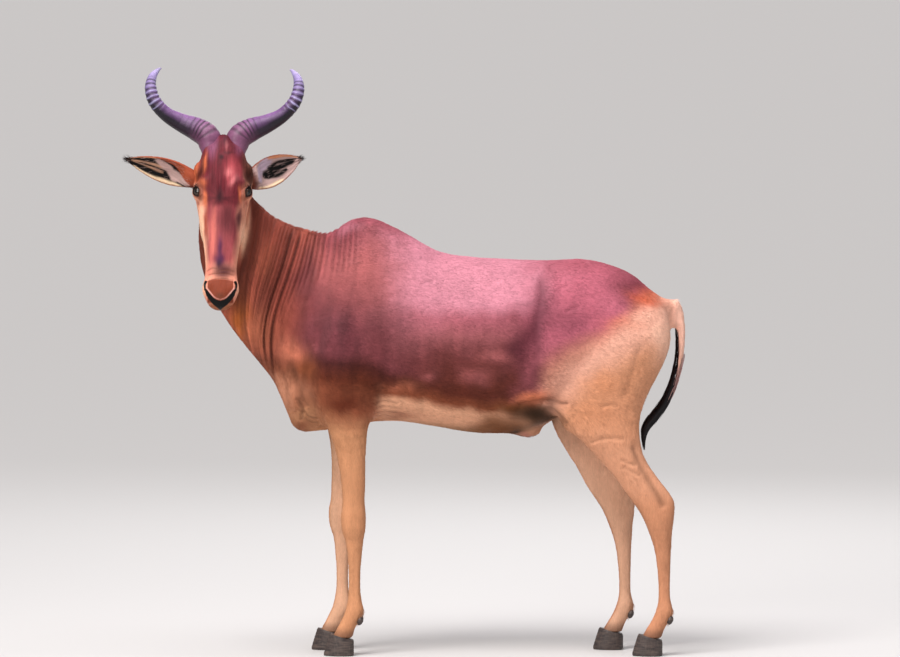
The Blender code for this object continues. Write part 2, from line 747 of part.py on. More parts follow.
def main():
    flesh = flesh_object()
    trunk = copy_of("trunk", flesh, "saddle")
    head = part_head_and_neck(flesh, trunk)
    legs = [part_leg(flesh, trunk, cut, sign) for cut in LEG_CUTS for sign in (LEFT, RIGHT)]
    for sign in (LEFT, RIGHT):
        for piece in (horn(sign), ear(sign), eye(sign)):
            leave_room(head, piece)
    tail = tail_piece("tail", TAIL, "tan")
    tuft = tail_piece("tail_tuft", TUFT, "black")
    leave_room(tuft, tail)
    leave_room(trunk, tail)
    for upper, _ in legs[2:]:
        leave_room(upper, tail)
    return centre_on_floor()


clear_scene()
ANIMAL = new_collection("hartebeest")
CUTTERS = new_collection("cutters")
HEAD_FRAME = head_frame()
main()
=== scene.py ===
"""The looks of the hartebeest bull: a skin over its nodes of flesh, eyes, horns, hooves and a short coat.

Lengths are in metres. Shapes are worked out in the animal's own frame: it faces -X, its left side is -Y, up
is +Z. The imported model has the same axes, and SHIFT is its offset. The head has a frame of its own: along the
face from muzzle to poll, across to the animal's left, and out of the face.
"""

import math

import bmesh
import bpy
import numpy as np
from mathutils import Matrix, Vector


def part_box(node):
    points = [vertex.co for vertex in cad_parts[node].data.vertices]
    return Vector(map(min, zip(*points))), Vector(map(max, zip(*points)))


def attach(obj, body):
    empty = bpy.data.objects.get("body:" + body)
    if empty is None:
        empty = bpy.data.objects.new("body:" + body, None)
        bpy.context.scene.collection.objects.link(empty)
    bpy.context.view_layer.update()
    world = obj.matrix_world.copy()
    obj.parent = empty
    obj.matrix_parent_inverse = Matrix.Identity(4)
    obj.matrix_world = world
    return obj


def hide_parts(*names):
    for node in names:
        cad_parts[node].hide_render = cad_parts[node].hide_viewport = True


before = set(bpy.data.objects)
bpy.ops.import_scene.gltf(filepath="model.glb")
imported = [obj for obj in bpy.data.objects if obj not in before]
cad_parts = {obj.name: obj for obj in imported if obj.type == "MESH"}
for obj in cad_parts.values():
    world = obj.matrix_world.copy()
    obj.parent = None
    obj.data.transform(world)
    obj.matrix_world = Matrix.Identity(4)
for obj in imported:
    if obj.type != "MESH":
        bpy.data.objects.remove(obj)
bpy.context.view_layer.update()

LEFT, RIGHT = -1, 1  # sign of Y
SIDES = ((LEFT, "left"), (RIGHT, "right"))

# ---------------------------------------------------------------- the animal's measures, as in the solids

HEAD_LENGTH = 0.504
EAR_LENGTH = 0.212
HEAD_PITCH = math.radians(66)
HEAD_ROLL = math.radians(0.7)
MUZZLE_TIP = np.array((-0.6505, -0.4, 0.985))
FORE_STRIDE, FORE_STRIDE_TOP = -0.036, 0.74
HIND_STRIDE, HIND_STRIDE_TOP = -0.105, 0.84

# X, top Z, bottom Z, half width, widening of the upper half (below 0 a narrowing)
TRUNK = (
    (-0.475, 0.88, 0.69, 0.056, 0.0), (-0.441, 0.975, 0.616, 0.096, -0.05),
    (-0.386, 1.13, 0.61, 0.128, -0.15), (-0.317, 1.191, 0.618, 0.146, -0.3),
    (-0.253, 1.204, 0.633, 0.155, -0.34), (-0.165, 1.175, 0.637, 0.167, -0.26),
    (-0.055, 1.114, 0.62, 0.181, -0.14), (0.055, 1.098, 0.604, 0.189, -0.08),
    (0.165, 1.092, 0.608, 0.188, -0.08), (0.248, 1.09, 0.634, 0.177, -0.1),
    (0.344, 1.094, 0.686, 0.162, -0.16), (0.441, 1.066, 0.713, 0.15, -0.2),
    (0.523, 1.011, 0.755, 0.12, -0.2), (0.575, 0.972, 0.83, 0.068, -0.1),
)
# centre X, Y, Z, half depth, half width, lean of the section's upper end towards +X
NECK = (
    (-0.33, 0.0, 0.9, 0.26, 0.12, 0.1), (-0.419, 0.0, 0.905, 0.262, 0.118, 0.18),
    (-0.477, -0.004, 0.964, 0.216, 0.1, 0.205), (-0.537, -0.018, 1.017, 0.188, 0.086, 0.28),
    (-0.587, -0.045, 1.073, 0.167, 0.078, 0.35), (-0.627, -0.085, 1.135, 0.144, 0.074, 0.44),
    (-0.648, -0.13, 1.205, 0.115, 0.07, 0.5), (-0.652, -0.165, 1.262, 0.085, 0.062, 0.5),
)
# Z, front X, rear X, distance of the middle from the midline, half thickness
FORELEG = (
    (1.0, -0.36, -0.262, 0.064, 0.048), (0.93, -0.398, -0.238, 0.086, 0.06),
    (0.86, -0.43, -0.226, 0.098, 0.063), (0.78, -0.434, -0.218, 0.103, 0.062),
    (0.72, -0.415, -0.224, 0.104, 0.056), (0.67, -0.388, -0.236, 0.102, 0.049),
    (0.62, -0.366, -0.247, 0.099, 0.042), (0.56, -0.346, -0.253, 0.094, 0.036),
    (0.5, -0.333, -0.256, 0.091, 0.031), (0.43, -0.326, -0.259, 0.088, 0.028),
    (0.385, -0.33, -0.256, 0.086, 0.032), (0.345, -0.327, -0.258, 0.085, 0.031),
    (0.305, -0.316, -0.264, 0.084, 0.024), (0.24, -0.31, -0.27, 0.083, 0.0185),
    (0.17, -0.31, -0.27, 0.082, 0.0185), (0.125, -0.318, -0.262, 0.081, 0.0265),
    (0.1, -0.329, -0.27, 0.08, 0.026), (0.075, -0.342, -0.286, 0.08, 0.0245),
    (0.045, -0.359, -0.293, 0.08, 0.028),
)
HINDLEG = (
    (1.04, 0.38, 0.45, 0.036, 0.026), (1.0, 0.34, 0.515, 0.06, 0.05), (0.945, 0.306, 0.572, 0.08, 0.069),
    (0.87, 0.292, 0.584, 0.092, 0.079), (0.8, 0.281, 0.562, 0.1, 0.076), (0.72, 0.27, 0.52, 0.109, 0.066),
    (0.66, 0.284, 0.501, 0.114, 0.057), (0.6, 0.322, 0.5, 0.116, 0.049), (0.55, 0.369, 0.512, 0.112, 0.041),
    (0.5, 0.416, 0.543, 0.107, 0.034), (0.455, 0.449, 0.576, 0.103, 0.03), (0.425, 0.471, 0.592, 0.1, 0.03),
    (0.385, 0.497, 0.591, 0.098, 0.033), (0.345, 0.515, 0.586, 0.095, 0.031),
    (0.29, 0.532, 0.583, 0.092, 0.023), (0.22, 0.541, 0.581, 0.09, 0.019),
    (0.16, 0.543, 0.581, 0.088, 0.0195), (0.125, 0.536, 0.589, 0.086, 0.027),
    (0.1, 0.525, 0.583, 0.085, 0.0265), (0.075, 0.51, 0.566, 0.085, 0.0245),
    (0.045, 0.492, 0.556, 0.085, 0.028),
)
# share of the head's length, height of the face line, depth below it, half width, widening of the upper half
HEAD = (
    (0.0, -0.026, 0.03, 0.017, 0.05), (0.02, -0.012, 0.056, 0.031, 0.05),
    (0.055, -0.004, 0.075, 0.041, 0.06), (0.105, 0.0, 0.083, 0.049, 0.08),
    (0.175, 0.002, 0.085, 0.0475, 0.08), (0.255, 0.004, 0.093, 0.046, 0.08),
    (0.35, 0.007, 0.107, 0.0495, 0.09), (0.465, 0.011, 0.131, 0.058, 0.12),
    (0.565, 0.018, 0.155, 0.067, 0.12), (0.645, 0.025, 0.168, 0.0745, 0.1),
    (0.72, 0.029, 0.16, 0.076, 0.02), (0.8, 0.031, 0.132, 0.069, -0.05), (0.88, 0.029, 0.098, 0.063, -0.08),
    (0.955, 0.021, 0.068, 0.05, -0.05), (1.0, 0.01, 0.04, 0.028, 0.0),
)
# Rounded masses: centre and radii, in the animal's frame and in the head's
BODY_MASSES = (
    ((0.185, 0.0, 0.612), (0.05, 0.022, 0.024)),  # sheath
    ((-0.425, 0.0, 0.665), (0.055, 0.062, 0.062)),  # brisket
    ((-0.4, 0.092, 0.81), (0.06, 0.052, 0.085)),  # point of the shoulder
    ((0.318, 0.112, 0.69), (0.06, 0.048, 0.085)),  # stifle
)
HEAD_MASSES = (
    ((0.336, 0.058, -0.016), (0.03, 0.028, 0.029)),  # orbit
    ((0.285, 0.038, -0.09), (0.085, 0.027, 0.06)),  # cheek
    ((0.062, 0.03, -0.028), (0.032, 0.0235, 0.03)),  # nostril
    ((0.465, 0.026, -0.01), (0.045, 0.036, 0.036)),  # pedicle
    ((0.04, 0.0, -0.068), (0.03, 0.029, 0.019)),  # chin
)
TAIL_WEB = ((0.581, 0.0, 0.93), (0.022, 0.017, 0.036))  # flesh between the tail's root and the rump
SOFT_HEAD_MASSES = (
    ((0.452, 0.036, -0.034), (0.03, 0.023, 0.021)),  # skull behind the horn's root
    ((0.404, 0.066, -0.03), (0.026, 0.018, 0.024)),  # muscle above the ear's root
    ((0.352, 0.05, 0.006), (0.02, 0.018, 0.018)),  # brow
)
EYE_CENTRE = (0.332, 0.061, -0.0065)
# along, across, out, radius
HORN = (
    (0.444, 0.0335, -0.017, 0.0225), (0.474, 0.036, -0.02, 0.031), (0.5, 0.044, -0.018, 0.0342),
    (0.523, 0.074, -0.024, 0.0325), (0.541, 0.117, -0.022, 0.0255), (0.56, 0.158, -0.008, 0.02),
    (0.592, 0.19, 0.004, 0.018), (0.632, 0.202, 0.002, 0.0158), (0.671, 0.199, -0.018, 0.0118),
    (0.703, 0.186, -0.046, 0.0058), (0.714, 0.178, -0.058, 0.0024),
)
# share of length, half width, cup depth
EAR = (
    (-0.16, 0.019, 0.016), (0.02, 0.023, 0.021), (0.18, 0.034, 0.024), (0.38, 0.0425, 0.023),
    (0.58, 0.04, 0.018), (0.78, 0.028, 0.012), (0.92, 0.014, 0.007), (1.0, 0.004, 0.003),
)
EAR_ROOT = (0.378, 0.064, -0.048)
EAR_WAYS = {  # where the tip and the opening point
    RIGHT: ((-0.95, 0.1, 0.29), (0.0, -0.8, -0.55)),
    LEFT: ((0.7, 0.66, 0.28), (0.6, -0.72, 0.1)),
}
# X, Z, radius
TAIL = (
    (0.56, 0.965, 0.02), (0.583, 0.968, 0.019), (0.6, 0.946, 0.0165), (0.608, 0.905, 0.0145),
    (0.609, 0.86, 0.0132), (0.605, 0.812, 0.0125), (0.593, 0.762, 0.012),
)
CORONET_HEIGHT, CORONET_SLOPE = 0.05, math.radians(16)
FORE_CORONET_X, HIND_CORONET_X = -0.325, 0.524
CLAW_HALF_LENGTH, CLAW_TOE_REACH = 0.033, 0.019
CLAW_WIDTH, CLAW_SPREAD, CLAW_SPLIT = 0.0245, 0.003, 0.0035
CLAW_PLAN = ((0.0, 0.45), (0.12, 0.86), (0.36, 1.0), (0.64, 0.88), (0.87, 0.5), (1.0, 0.16))
DEWCLAW_RADII, DEWCLAW_OUT, DEWCLAW_LEAN = (0.0085, 0.0085, 0.0135), 0.0135, math.radians(20)
FORE_DEWCLAW, HIND_DEWCLAW = (-0.2745, 0.098), (0.578, 0.1)
FORE_FOOT_OUT, HIND_FOOT_OUT = 0.08, 0.085

# ---------------------------------------------------------------- frames and plain shapes


def unit(vector):
    vector = np.asarray(vector, float)
    return vector / np.linalg.norm(vector)


def head_frame():
    """Rows: along the face, across to the animal's left, out of the face."""
    along = Vector((0.0, math.cos(HEAD_PITCH), math.sin(HEAD_PITCH)))
    across = Vector((1.0, 0.0, 0.0))
    roll = Matrix.Rotation(HEAD_ROLL, 3, "Y")
    return np.array([roll @ along, roll @ across, roll @ across.cross(along)])


HEAD_AXES = head_frame()


def on_head(*place):
    """Points of the head's frame in the animal's frame."""
    return MUZZLE_TIP + np.asarray(place, float).reshape(-1, 3) @ HEAD_AXES


def to_head(points):
    return (points - MUZZLE_TIP) @ HEAD_AXES.T


def one_sided(places):
    """Both sides as one: the second coordinate without its sign."""
    return places * (1, 0, 1) + abs(places) * (0, 1, 0)


def head_point(along, across, out):
    return on_head(along, across, out)[0]


def ear_root(sign):
    along, across, out = EAR_ROOT
    return head_point(along, -sign * across, out)


def find_shift():
    """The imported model's place: the middle of the left eye's ball against its place in the animal's frame."""
    low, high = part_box("eye_left")
    return np.array((low + high) / 2) - head_point(*EYE_CENTRE)


SHIFT = find_shift()
SHIFT[2] = 0.0


def step(low, high, value):
    """0 below low, 1 above high, smooth between."""
    share = np.clip((value - low) / (high - low), 0, 1)
    return share * share * (3 - 2 * share)


def catmull_rom(rows, per_span):
    rows = np.array(rows, float)
    padded = np.vstack([2 * rows[0] - rows[1], rows, 2 * rows[-1] - rows[-2]])
    out = []
    for i in range(len(rows) - 1):
        before, start, end, after = padded[i : i + 4]
        for t in np.linspace(0, 1, per_span, endpoint=False):
            square, cube = (2 * before - 5 * start + 4 * end - after), (3 * start - before - 3 * end + after)
            out.append(0.5 * (2 * start + (end - before) * t + square * t**2 + cube * t**3))
    out.append(rows[-1])
    return np.array(out)


def oval(centre, up, side, taper=0.0, squareness=1.0, sides=28):
    angle = np.linspace(0, 2 * math.pi, sides, endpoint=False)
    rise = np.sign(np.cos(angle)) * abs(np.cos(angle)) ** squareness
    reach = np.sign(np.sin(angle)) * abs(np.sin(angle)) ** squareness
    return np.asarray(centre) + np.outer(rise, up) + np.outer(reach * (1 + taper * rise), side)


def turned_over(faces):
    return [face[::-1] for face in faces]


def loft(rings):
    """A closed shape through rings of points, as (points, faces) with its faces pointing out."""
    rings = [np.asarray(ring, float) for ring in rings]
    sides, count = len(rings[0]), len(rings)
    points = np.vstack(rings + [rings[0].mean(0), rings[-1].mean(0)])
    faces = []
    for i in range(count - 1):
        for k in range(sides):
            n = (k + 1) % sides
            faces.append((i * sides + k, i * sides + n, (i + 1) * sides + n, (i + 1) * sides + k))
    for row, middle in ((0, count * sides), (count - 1, count * sides + 1)):
        for k in range(sides):
            pair = (row * sides + k, row * sides + (k + 1) % sides)
            faces.append((*(pair if row else pair[::-1]), middle))
    volume = 0.0
    for face in faces:
        for i in range(1, len(face) - 1):
            volume += np.dot(points[face[0]], np.cross(points[face[i]], points[face[i + 1]]))
    return points, turned_over(faces) if volume < 0 else faces


def ellipsoid(centre, radii, axes=None, sides=24, rows=14):
    """A ball of three radii along the rows of axes."""
    axes = np.eye(3) if axes is None else axes
    rings = []
    for angle in np.linspace(0.06, math.pi - 0.06, rows):
        middle = np.asarray(centre) - axes[2] * radii[2] * math.cos(angle)
        up, side = (axes[i] * radii[i] * math.sin(angle) for i in (0, 1))
        rings.append(oval(middle, up, side, sides=sides))
    return loft(rings)


def sweep_frames(centres):
    """Ahead, up and side vectors along a line, with as little twist as can be."""
    side = None
    frames = []
    for i in range(len(centres)):
        ahead = unit(centres[min(i + 1, len(centres) - 1)] - centres[max(i - 1, 0)])
        if side is None:
            side = unit(np.cross(ahead, (0.0, 0.3, 1.0)))
        side = unit(side - ahead * side.dot(ahead))
        frames.append((ahead, np.cross(ahead, side), side))
    return frames


def tube(stations, sides, per_span):
    rows = catmull_rom(stations, per_span)
    rings = []
    for (*centre, radius), (_, up, side) in zip(rows, sweep_frames(rows[:, :3])):
        rings.append(oval(centre, up * radius, side * radius, sides=sides))
    return loft(rings)


def combined(shapes):
    """Several (points, faces) as one."""
    points, faces, start = [], [], 0
    for some_points, some_faces in shapes:
        points.append(some_points)
        faces += [tuple(start + i for i in f) for f in some_faces]
        start += len(some_points)
    return np.vstack(points), faces


def linked(name, data):
    """A new object of the scene."""
    obj = bpy.data.objects.new(name, data)
    bpy.context.scene.collection.objects.link(obj)
    return obj


def new_object(name, shape, shift=True):
    points, faces = shape
    mesh = bpy.data.meshes.new(name)
    mesh.from_pydata((points + SHIFT if shift else points).tolist(), [], faces)
    mesh.update()
    return linked(name, mesh)


# ---------------------------------------------------------------- noise and mesh arrays

NOISE_SEED, TUFT_SEED, FRINGE_SEED, COAT_SEED = 11, 41, 77, 100
NOISE_COUNT, NOISE_PRIMES = 8192, np.array((73856093, 19349663, 83492791))
NOISE_TABLE = np.random.default_rng(NOISE_SEED).random(NOISE_COUNT)
RELAX_FACTOR = 0.6
LEAST_COLOUR = 0.002


def noise(points, size, seed=0):
    """Smooth noise from 0 to 1 with features of that size (one number, or one for each axis)."""
    cells = np.asarray(points, float) / size + 17.3 * seed
    base = np.floor(cells).astype(np.int64)
    part = cells - base
    part = part * part * (3 - 2 * part)
    total = np.zeros(len(cells))
    for corner in range(8):
        way = np.array([(corner >> k) & 1 for k in range(3)])
        share = np.prod(np.where(way, part, 1 - part), axis=1)
        total += share * NOISE_TABLE[((base + way) @ NOISE_PRIMES) % NOISE_COUNT]
    return total


def values_of(items, field, width, kind=np.float32):
    """One property of many items, as an array with a row for each."""
    out = np.empty(len(items) * width, kind)
    items.foreach_get(field, out)
    return out.reshape(-1, width)


def points_of(mesh):
    return values_of(mesh.vertices, "co", 3).astype(float)


def normals_of(mesh):
    return values_of(mesh.vertex_normals, "vector", 3).astype(float)


def edges_of(mesh):
    return values_of(mesh.edges, "vertices", 2, np.int32)


def set_points(mesh, points):
    mesh.vertices.foreach_set("co", np.asarray(points, np.float32).ravel())
    mesh.update()


def relax(points, edges, weight, rounds):
    """Draws each point towards the mean of its neighbours."""
    count = len(points)
    here, there = edges.T
    degree = np.maximum(np.bincount(edges.ravel(), minlength=count), 1)[:, None]
    for _ in range(rounds):
        total = np.empty_like(points)
        for axis in range(3):
            total[:, axis] = np.bincount(here, points[there, axis], count)
            total[:, axis] += np.bincount(there, points[here, axis], count)
        points = points + RELAX_FACTOR * weight[:, None] * (total / degree - points)
    return points


def float_attribute(mesh, name, values, kind="FLOAT"):
    layer = mesh.attributes.new(name, kind, "POINT")
    field = {"FLOAT": "value", "FLOAT_VECTOR": "vector", "FLOAT_COLOR": "color"}[kind]
    layer.data.foreach_set(field, np.asarray(values, np.float32).ravel())


def colour_attribute(mesh, colours):
    with_alpha = np.column_stack([np.clip(colours, LEAST_COLOUR, 1), np.ones(len(colours))])
    float_attribute(mesh, "coat_colour", with_alpha, "FLOAT_COLOR")


# ---------------------------------------------------------------- masses of flesh

SKIN_VOXEL = 0.0055
CAD_VOXEL, CAD_ROUNDS = 0.0095, 16  # how the solids were smoothed
FIRM_LEG_TOP, FIRM_HEAD_RADIUS, LEAST_SOFT = 0.44, 0.2, 0.1


def trunk_shape():
    rings = []
    for x, top, bottom, half_width, taper in catmull_rom(TRUNK, 4):
        centre = (x, 0, (top + bottom) / 2)
        rings.append(oval(centre, (0, 0, (top - bottom) / 2), (0, half_width, 0), taper, 0.94))
    return loft(rings)


def neck_shape():
    rows = catmull_rom(NECK, 4)
    rings = []
    for i, (x, y, z, half_depth, half_width, lean) in enumerate(rows):
        ahead = rows[min(i + 1, len(rows) - 1)][:3] - rows[max(i - 1, 0)][:3]
        up = np.array((math.sin(lean), 0.0, math.cos(lean)))
        rings.append(oval((x, y, z), up * half_depth, unit(np.cross(up, ahead)) * half_width, -0.12))
    return loft(rings)


def stride_at(z, stride, top):
    """How far ahead of the left leg the right one is, at a height."""
    return stride * step(0, 1, (top - np.asarray(z)) / (top / 2))


def leg_shape(stations, sign, stride, top):
    rings = []
    for z, front, rear, out, half in catmull_rom(stations, 4):
        swing = float(stride_at(z, stride, top)) if sign == RIGHT else 0.0
        centre = ((front + rear) / 2 + swing, sign * out, z)
        rings.append(oval(centre, ((rear - front) / 2, 0, 0), (0, half, 0), 0.0, 0.92))
    return loft(rings)


def head_shape():
    rings = []
    for share, face_line, depth, half_width, taper in catmull_rom(HEAD, 4):
        centre = head_point(share * HEAD_LENGTH, 0, face_line - depth / 2)
        rings.append(oval(centre, HEAD_AXES[2] * depth / 2, HEAD_AXES[1] * half_width, taper, 0.84))
    return loft(rings)


def both_sides(place):
    first, across, third = place
    return [place] if across == 0 else [(first, sign * across, third) for sign in (LEFT, RIGHT)]


EAR_BASE = ((-0.22, 0.016), (-0.05, 0.021), (0.06, 0.0205), (0.13, 0.017))  # share of the length, radius


def ear_root_shape(sign):
    """The fleshy base of an ear, from inside the head to where the cup opens."""
    root, tip_way = ear_root(sign), unit(EAR_WAYS[sign][0])
    return tube([(*(root + tip_way * EAR_LENGTH * share), radius) for share, radius in EAR_BASE], 20, 3)


def flesh_masses():
    shapes = [trunk_shape(), neck_shape(), head_shape()]
    for sign, _ in SIDES:
        shapes.append(leg_shape(FORELEG, sign, FORE_STRIDE, FORE_STRIDE_TOP))
        shapes.append(leg_shape(HINDLEG, sign, HIND_STRIDE, HIND_STRIDE_TOP))
        shapes.append(ear_root_shape(sign))
    for place, radii in BODY_MASSES:
        shapes += [ellipsoid(p, radii) for p in both_sides(place)]
    for place, radii in HEAD_MASSES + SOFT_HEAD_MASSES:
        shapes += [ellipsoid(head_point(*p), radii, HEAD_AXES) for p in both_sides(place)]
    shapes.append(tube([(x, 0.0, z, radius) for x, z, radius in TAIL], 20, 4))
    shapes.append(ellipsoid(*TAIL_WEB))
    return combined(shapes)


def tail_share(points):
    """1 on the free part of the tail."""
    return step(0.583, 0.598, points[:, 0]) * step(0.74, 0.76, points[:, 2])


def softness(points):
    above_knee = np.clip((points[:, 2] - FIRM_LEG_TOP) / 0.16, 0, 1)
    from_head = np.linalg.norm(points - head_point(0.25, 0, -0.05), axis=1)
    off_head = np.clip((from_head - FIRM_HEAD_RADIUS) / 0.1, 0, 1)
    tail = tail_share(points)
    return np.maximum(above_knee * off_head * (1 - tail), LEAST_SOFT * (1 - 0.5 * tail))


def subdivide_near(mesh, chosen):
    """Halves the mesh size in the faces whose middle points are chosen."""
    shape = bmesh.new()
    shape.from_mesh(mesh)
    middles = np.array([f.calc_center_median() for f in shape.faces])
    flags = chosen(middles)
    edges = {e for f, flag in zip(shape.faces, flags) if flag for e in f.edges}
    bmesh.ops.subdivide_edges(shape, edges=sorted(edges, key=lambda e: e.index), cuts=1, use_grid_fill=True)
    shape.to_mesh(mesh)
    shape.free()
    mesh.update()


def in_head(points):
    """1 on the head, 0 on the neck, by the plane behind the jaw."""
    place = to_head(points)
    lean = math.radians(22)
    ahead = (place - (0.37, 0, -0.125)) @ np.array((-math.sin(lean), 0, math.cos(lean)))
    near = step(0.36, 0.3, np.linalg.norm(place - (0.26, 0, -0.04), axis=1))
    return step(-0.012, 0.018, ahead) * near


def near_eye_or_muzzle(points):
    place = to_head(points)
    mirrored = one_sided(place)
    eye = np.linalg.norm(mirrored - EYE_CENTRE, axis=1) < 0.04
    return eye | ((place[:, 0] < 0.095) & (np.linalg.norm(place - (0.03, 0, -0.03), axis=1) < 0.1))


def head_neck_or_chest(points):
    x, z = points[:, 0], points[:, 2]
    return (in_head(points) > 0) | ((x < -0.26) & (z > 0.8)) | ((x < -0.38) & (z > 0.6))


FINE_WEIGHT, FINE_ROUNDS = 0.8, 3  # smoothing of the finer parts


def rough_skin():
    """The fused and smoothed flesh, finer on the head and neck, in the animal's frame."""
    rough = new_object("rough", flesh_masses(), shift=False)
    remesh = rough.modifiers.new("fuse", "REMESH")
    remesh.mode = "VOXEL"
    remesh.voxel_size = SKIN_VOXEL
    graph = bpy.context.evaluated_depsgraph_get()
    mesh = bpy.data.meshes.new_from_object(rough.evaluated_get(graph))
    bpy.data.objects.remove(rough)
    points = points_of(mesh)
    rounds = round(CAD_ROUNDS * (CAD_VOXEL / SKIN_VOXEL) ** 2)
    set_points(mesh, relax(points, edges_of(mesh), softness(points), rounds))
    for chosen in (head_neck_or_chest, near_eye_or_muzzle):
        subdivide_near(mesh, chosen)
        points = points_of(mesh)
        set_points(mesh, relax(points, edges_of(mesh), FINE_WEIGHT * chosen(points), FINE_ROUNDS))
    return mesh


# ---------------------------------------------------------------- folds of the neck

# Lines down the side of the neck, from the nape to the chest, front to back: X and Z at each of a few heights
FOLD_LINES = (
    (0.0, ((-0.545, 1.237), (-0.556, 1.14), (-0.5785, 1.03), (-0.587, 0.92), (-0.573, 0.837))),
    (0.35, ((-0.482, 1.193), (-0.51, 1.085), (-0.545, 0.975), (-0.562, 0.865), (-0.545, 0.782))),
    (0.6, ((-0.4325, 1.1735), (-0.468, 1.058), (-0.508, 0.942), (-0.52, 0.851), (-0.512, 0.741))),
    (0.8, ((-0.391, 1.168), (-0.413, 1.058), (-0.449, 0.948), (-0.482, 0.8375), (-0.485, 0.7))),
    (1.0, ((-0.3306, 1.1846), (-0.344, 1.058), (-0.372, 0.948), (-0.408, 0.8375), (-0.4325, 0.7))),
    (1.35, ((-0.275, 1.204), (-0.281, 1.085), (-0.2975, 0.975), (-0.325, 0.8375), (-0.35, 0.7))),
)
# Creases: place across the fold lines, depth, half width, how far down they reach, where they start
NECK_CREASES = (
    (-0.14, 0.5, 0.03, 0.75, 0.0), (-0.02, 0.4, 0.016, 0.7, 0.02), (0.06, 0.6, 0.018, 0.7, 0.02),
    (0.13, 0.4, 0.014, 0.55, 0.02), (0.2, 0.7, 0.02, 0.62, 0.0), (0.27, 0.4, 0.013, 0.55, 0.06),
    (0.33, 0.5, 0.014, 0.55, 0.04), (0.38, 0.5, 0.014, 0.5, 0.0), (0.43, 0.7, 0.016, 0.74, 0.03),
    (0.48, 1.2, 0.022, 0.84, 0.03), (0.535, 0.6, 0.014, 0.62, 0.06), (0.6, 1.2, 0.026, 0.86, 0.03),
    (0.655, 0.6, 0.012, 0.5, 0.03), (0.705, 0.8, 0.016, 0.4, 0.0), (0.75, 0.5, 0.012, 0.3, 0.0),
    (0.795, 0.7, 0.014, 0.23, 0.0), (0.84, 0.5, 0.012, 0.2, 0.0), (0.885, 0.7, 0.013, 0.21, 0.01),
    (0.93, 0.5, 0.012, 0.17, 0.02), (0.98, 0.6, 0.014, 0.19, 0.02), (1.05, 0.5, 0.018, 0.17, 0.03),
    (1.13, 0.5, 0.02, 0.17, 0.04), (1.215, 0.4, 0.022, 0.15, 0.05), (1.3, 0.3, 0.024, 0.14, 0.06),
)
CREASE_DEPTH = 0.0062


def fold_place(points):
    """Place across the fold lines (0 behind the jaw, 1 at the shoulder) and down them (0 at the nape, 1 at
    the chest)."""
    x, z = points[:, 0], points[:, 2]
    lines = [np.array(line)[::-1] for _, line in FOLD_LINES]
    places = [place for place, _ in FOLD_LINES]
    smooth = [catmull_rom(line, 6) for line in lines]
    across_x = np.array([np.interp(z, line[:, 1], line[:, 0]) for line in smooth])
    across = np.full(len(x), places[0]) + (x - across_x[0]) / 0.16
    for i in range(len(lines) - 1):
        share = (x - across_x[i]) / (across_x[i + 1] - across_x[i])
        inside = share >= 0
        across = np.where(inside, places[i] + share * (places[i + 1] - places[i]), across)
    tops = np.interp(across, places, [line[-1, 1] for line in lines])
    feet = np.interp(across, places, [line[0, 1] for line in lines])
    return across, (tops - z) / (tops - feet)


def fold_zone(points, normals):
    """How strongly the folds show: fully on the neck's left, the hollow side of its bend, and faintly on
    its right."""
    side = np.maximum(step(0.42, -0.1, normals[:, 1]), 0.28 * step(-0.15, 0.35, normals[:, 1]))
    return side * (1 - in_head(points)) * step(0.62, 0.72, points[:, 2]) * step(-0.2, -0.27, points[:, 0])


def fold_groove(points, normals):
    """Depth of the neck's creases from 0 to about 1.3, at each point."""
    across, down = fold_place(points)
    wobble = 0.03 * (noise(np.stack([across * 4, down * 3, 0 * down], 1), 1.0) - 0.5)
    across = across + wobble
    groove = np.zeros(len(points))
    for place, depth, width, reach, start in NECK_CREASES:
        fade = step(start - 0.05, start + 0.05, down) * step(reach + 0.16, reach - 0.1, down)
        groove = np.maximum(groove, depth * fade * np.exp(-(((across - place) / width) ** 2)))
    return groove * fold_zone(points, normals)


# ---------------------------------------------------------------- carving the skin


def gauss(points, centre, radii):
    return np.exp(-(((points - np.asarray(centre)) / np.asarray(radii)) ** 2).sum(1))


def line_distance(points, line, per_span=6):
    """Distance of points to a smooth line (any number of coordinates), and the share along it."""
    rows = catmull_rom(line, per_span)
    best = np.full(len(points), 1e9)
    share = np.zeros(len(points))
    for i in range(len(rows) - 1):
        span = rows[i + 1] - rows[i]
        along = np.clip(((points - rows[i]) @ span) / (span @ span), 0, 1)
        distance = np.linalg.norm(points - rows[i] - along[:, None] * span, axis=1)
        nearer = distance < best
        best = np.where(nearer, distance, best)
        share = np.where(nearer, (i + along) / (len(rows) - 1), share)
    return best, share


def groove_along(points, line, width, ends=0.12):
    """1 on a line, falling off over width, and towards the line's ends."""
    distance, share = line_distance(points, line)
    return np.exp(-((distance / width) ** 2)) * step(0, ends, share) * step(1, 1 - ends, share)


COAT_DEPTH = 0.0045
FACE_COAT_DEPTH = 0.0022
LEG_COAT_DEPTH = 0.0028


def coat_depth(points):
    depth = COAT_DEPTH + (LEG_COAT_DEPTH - COAT_DEPTH) * step(0.66, 0.5, points[:, 2])
    depth += (FACE_COAT_DEPTH - depth) * in_head(points)
    return depth + (LEG_COAT_DEPTH - depth) * tail_share(points)


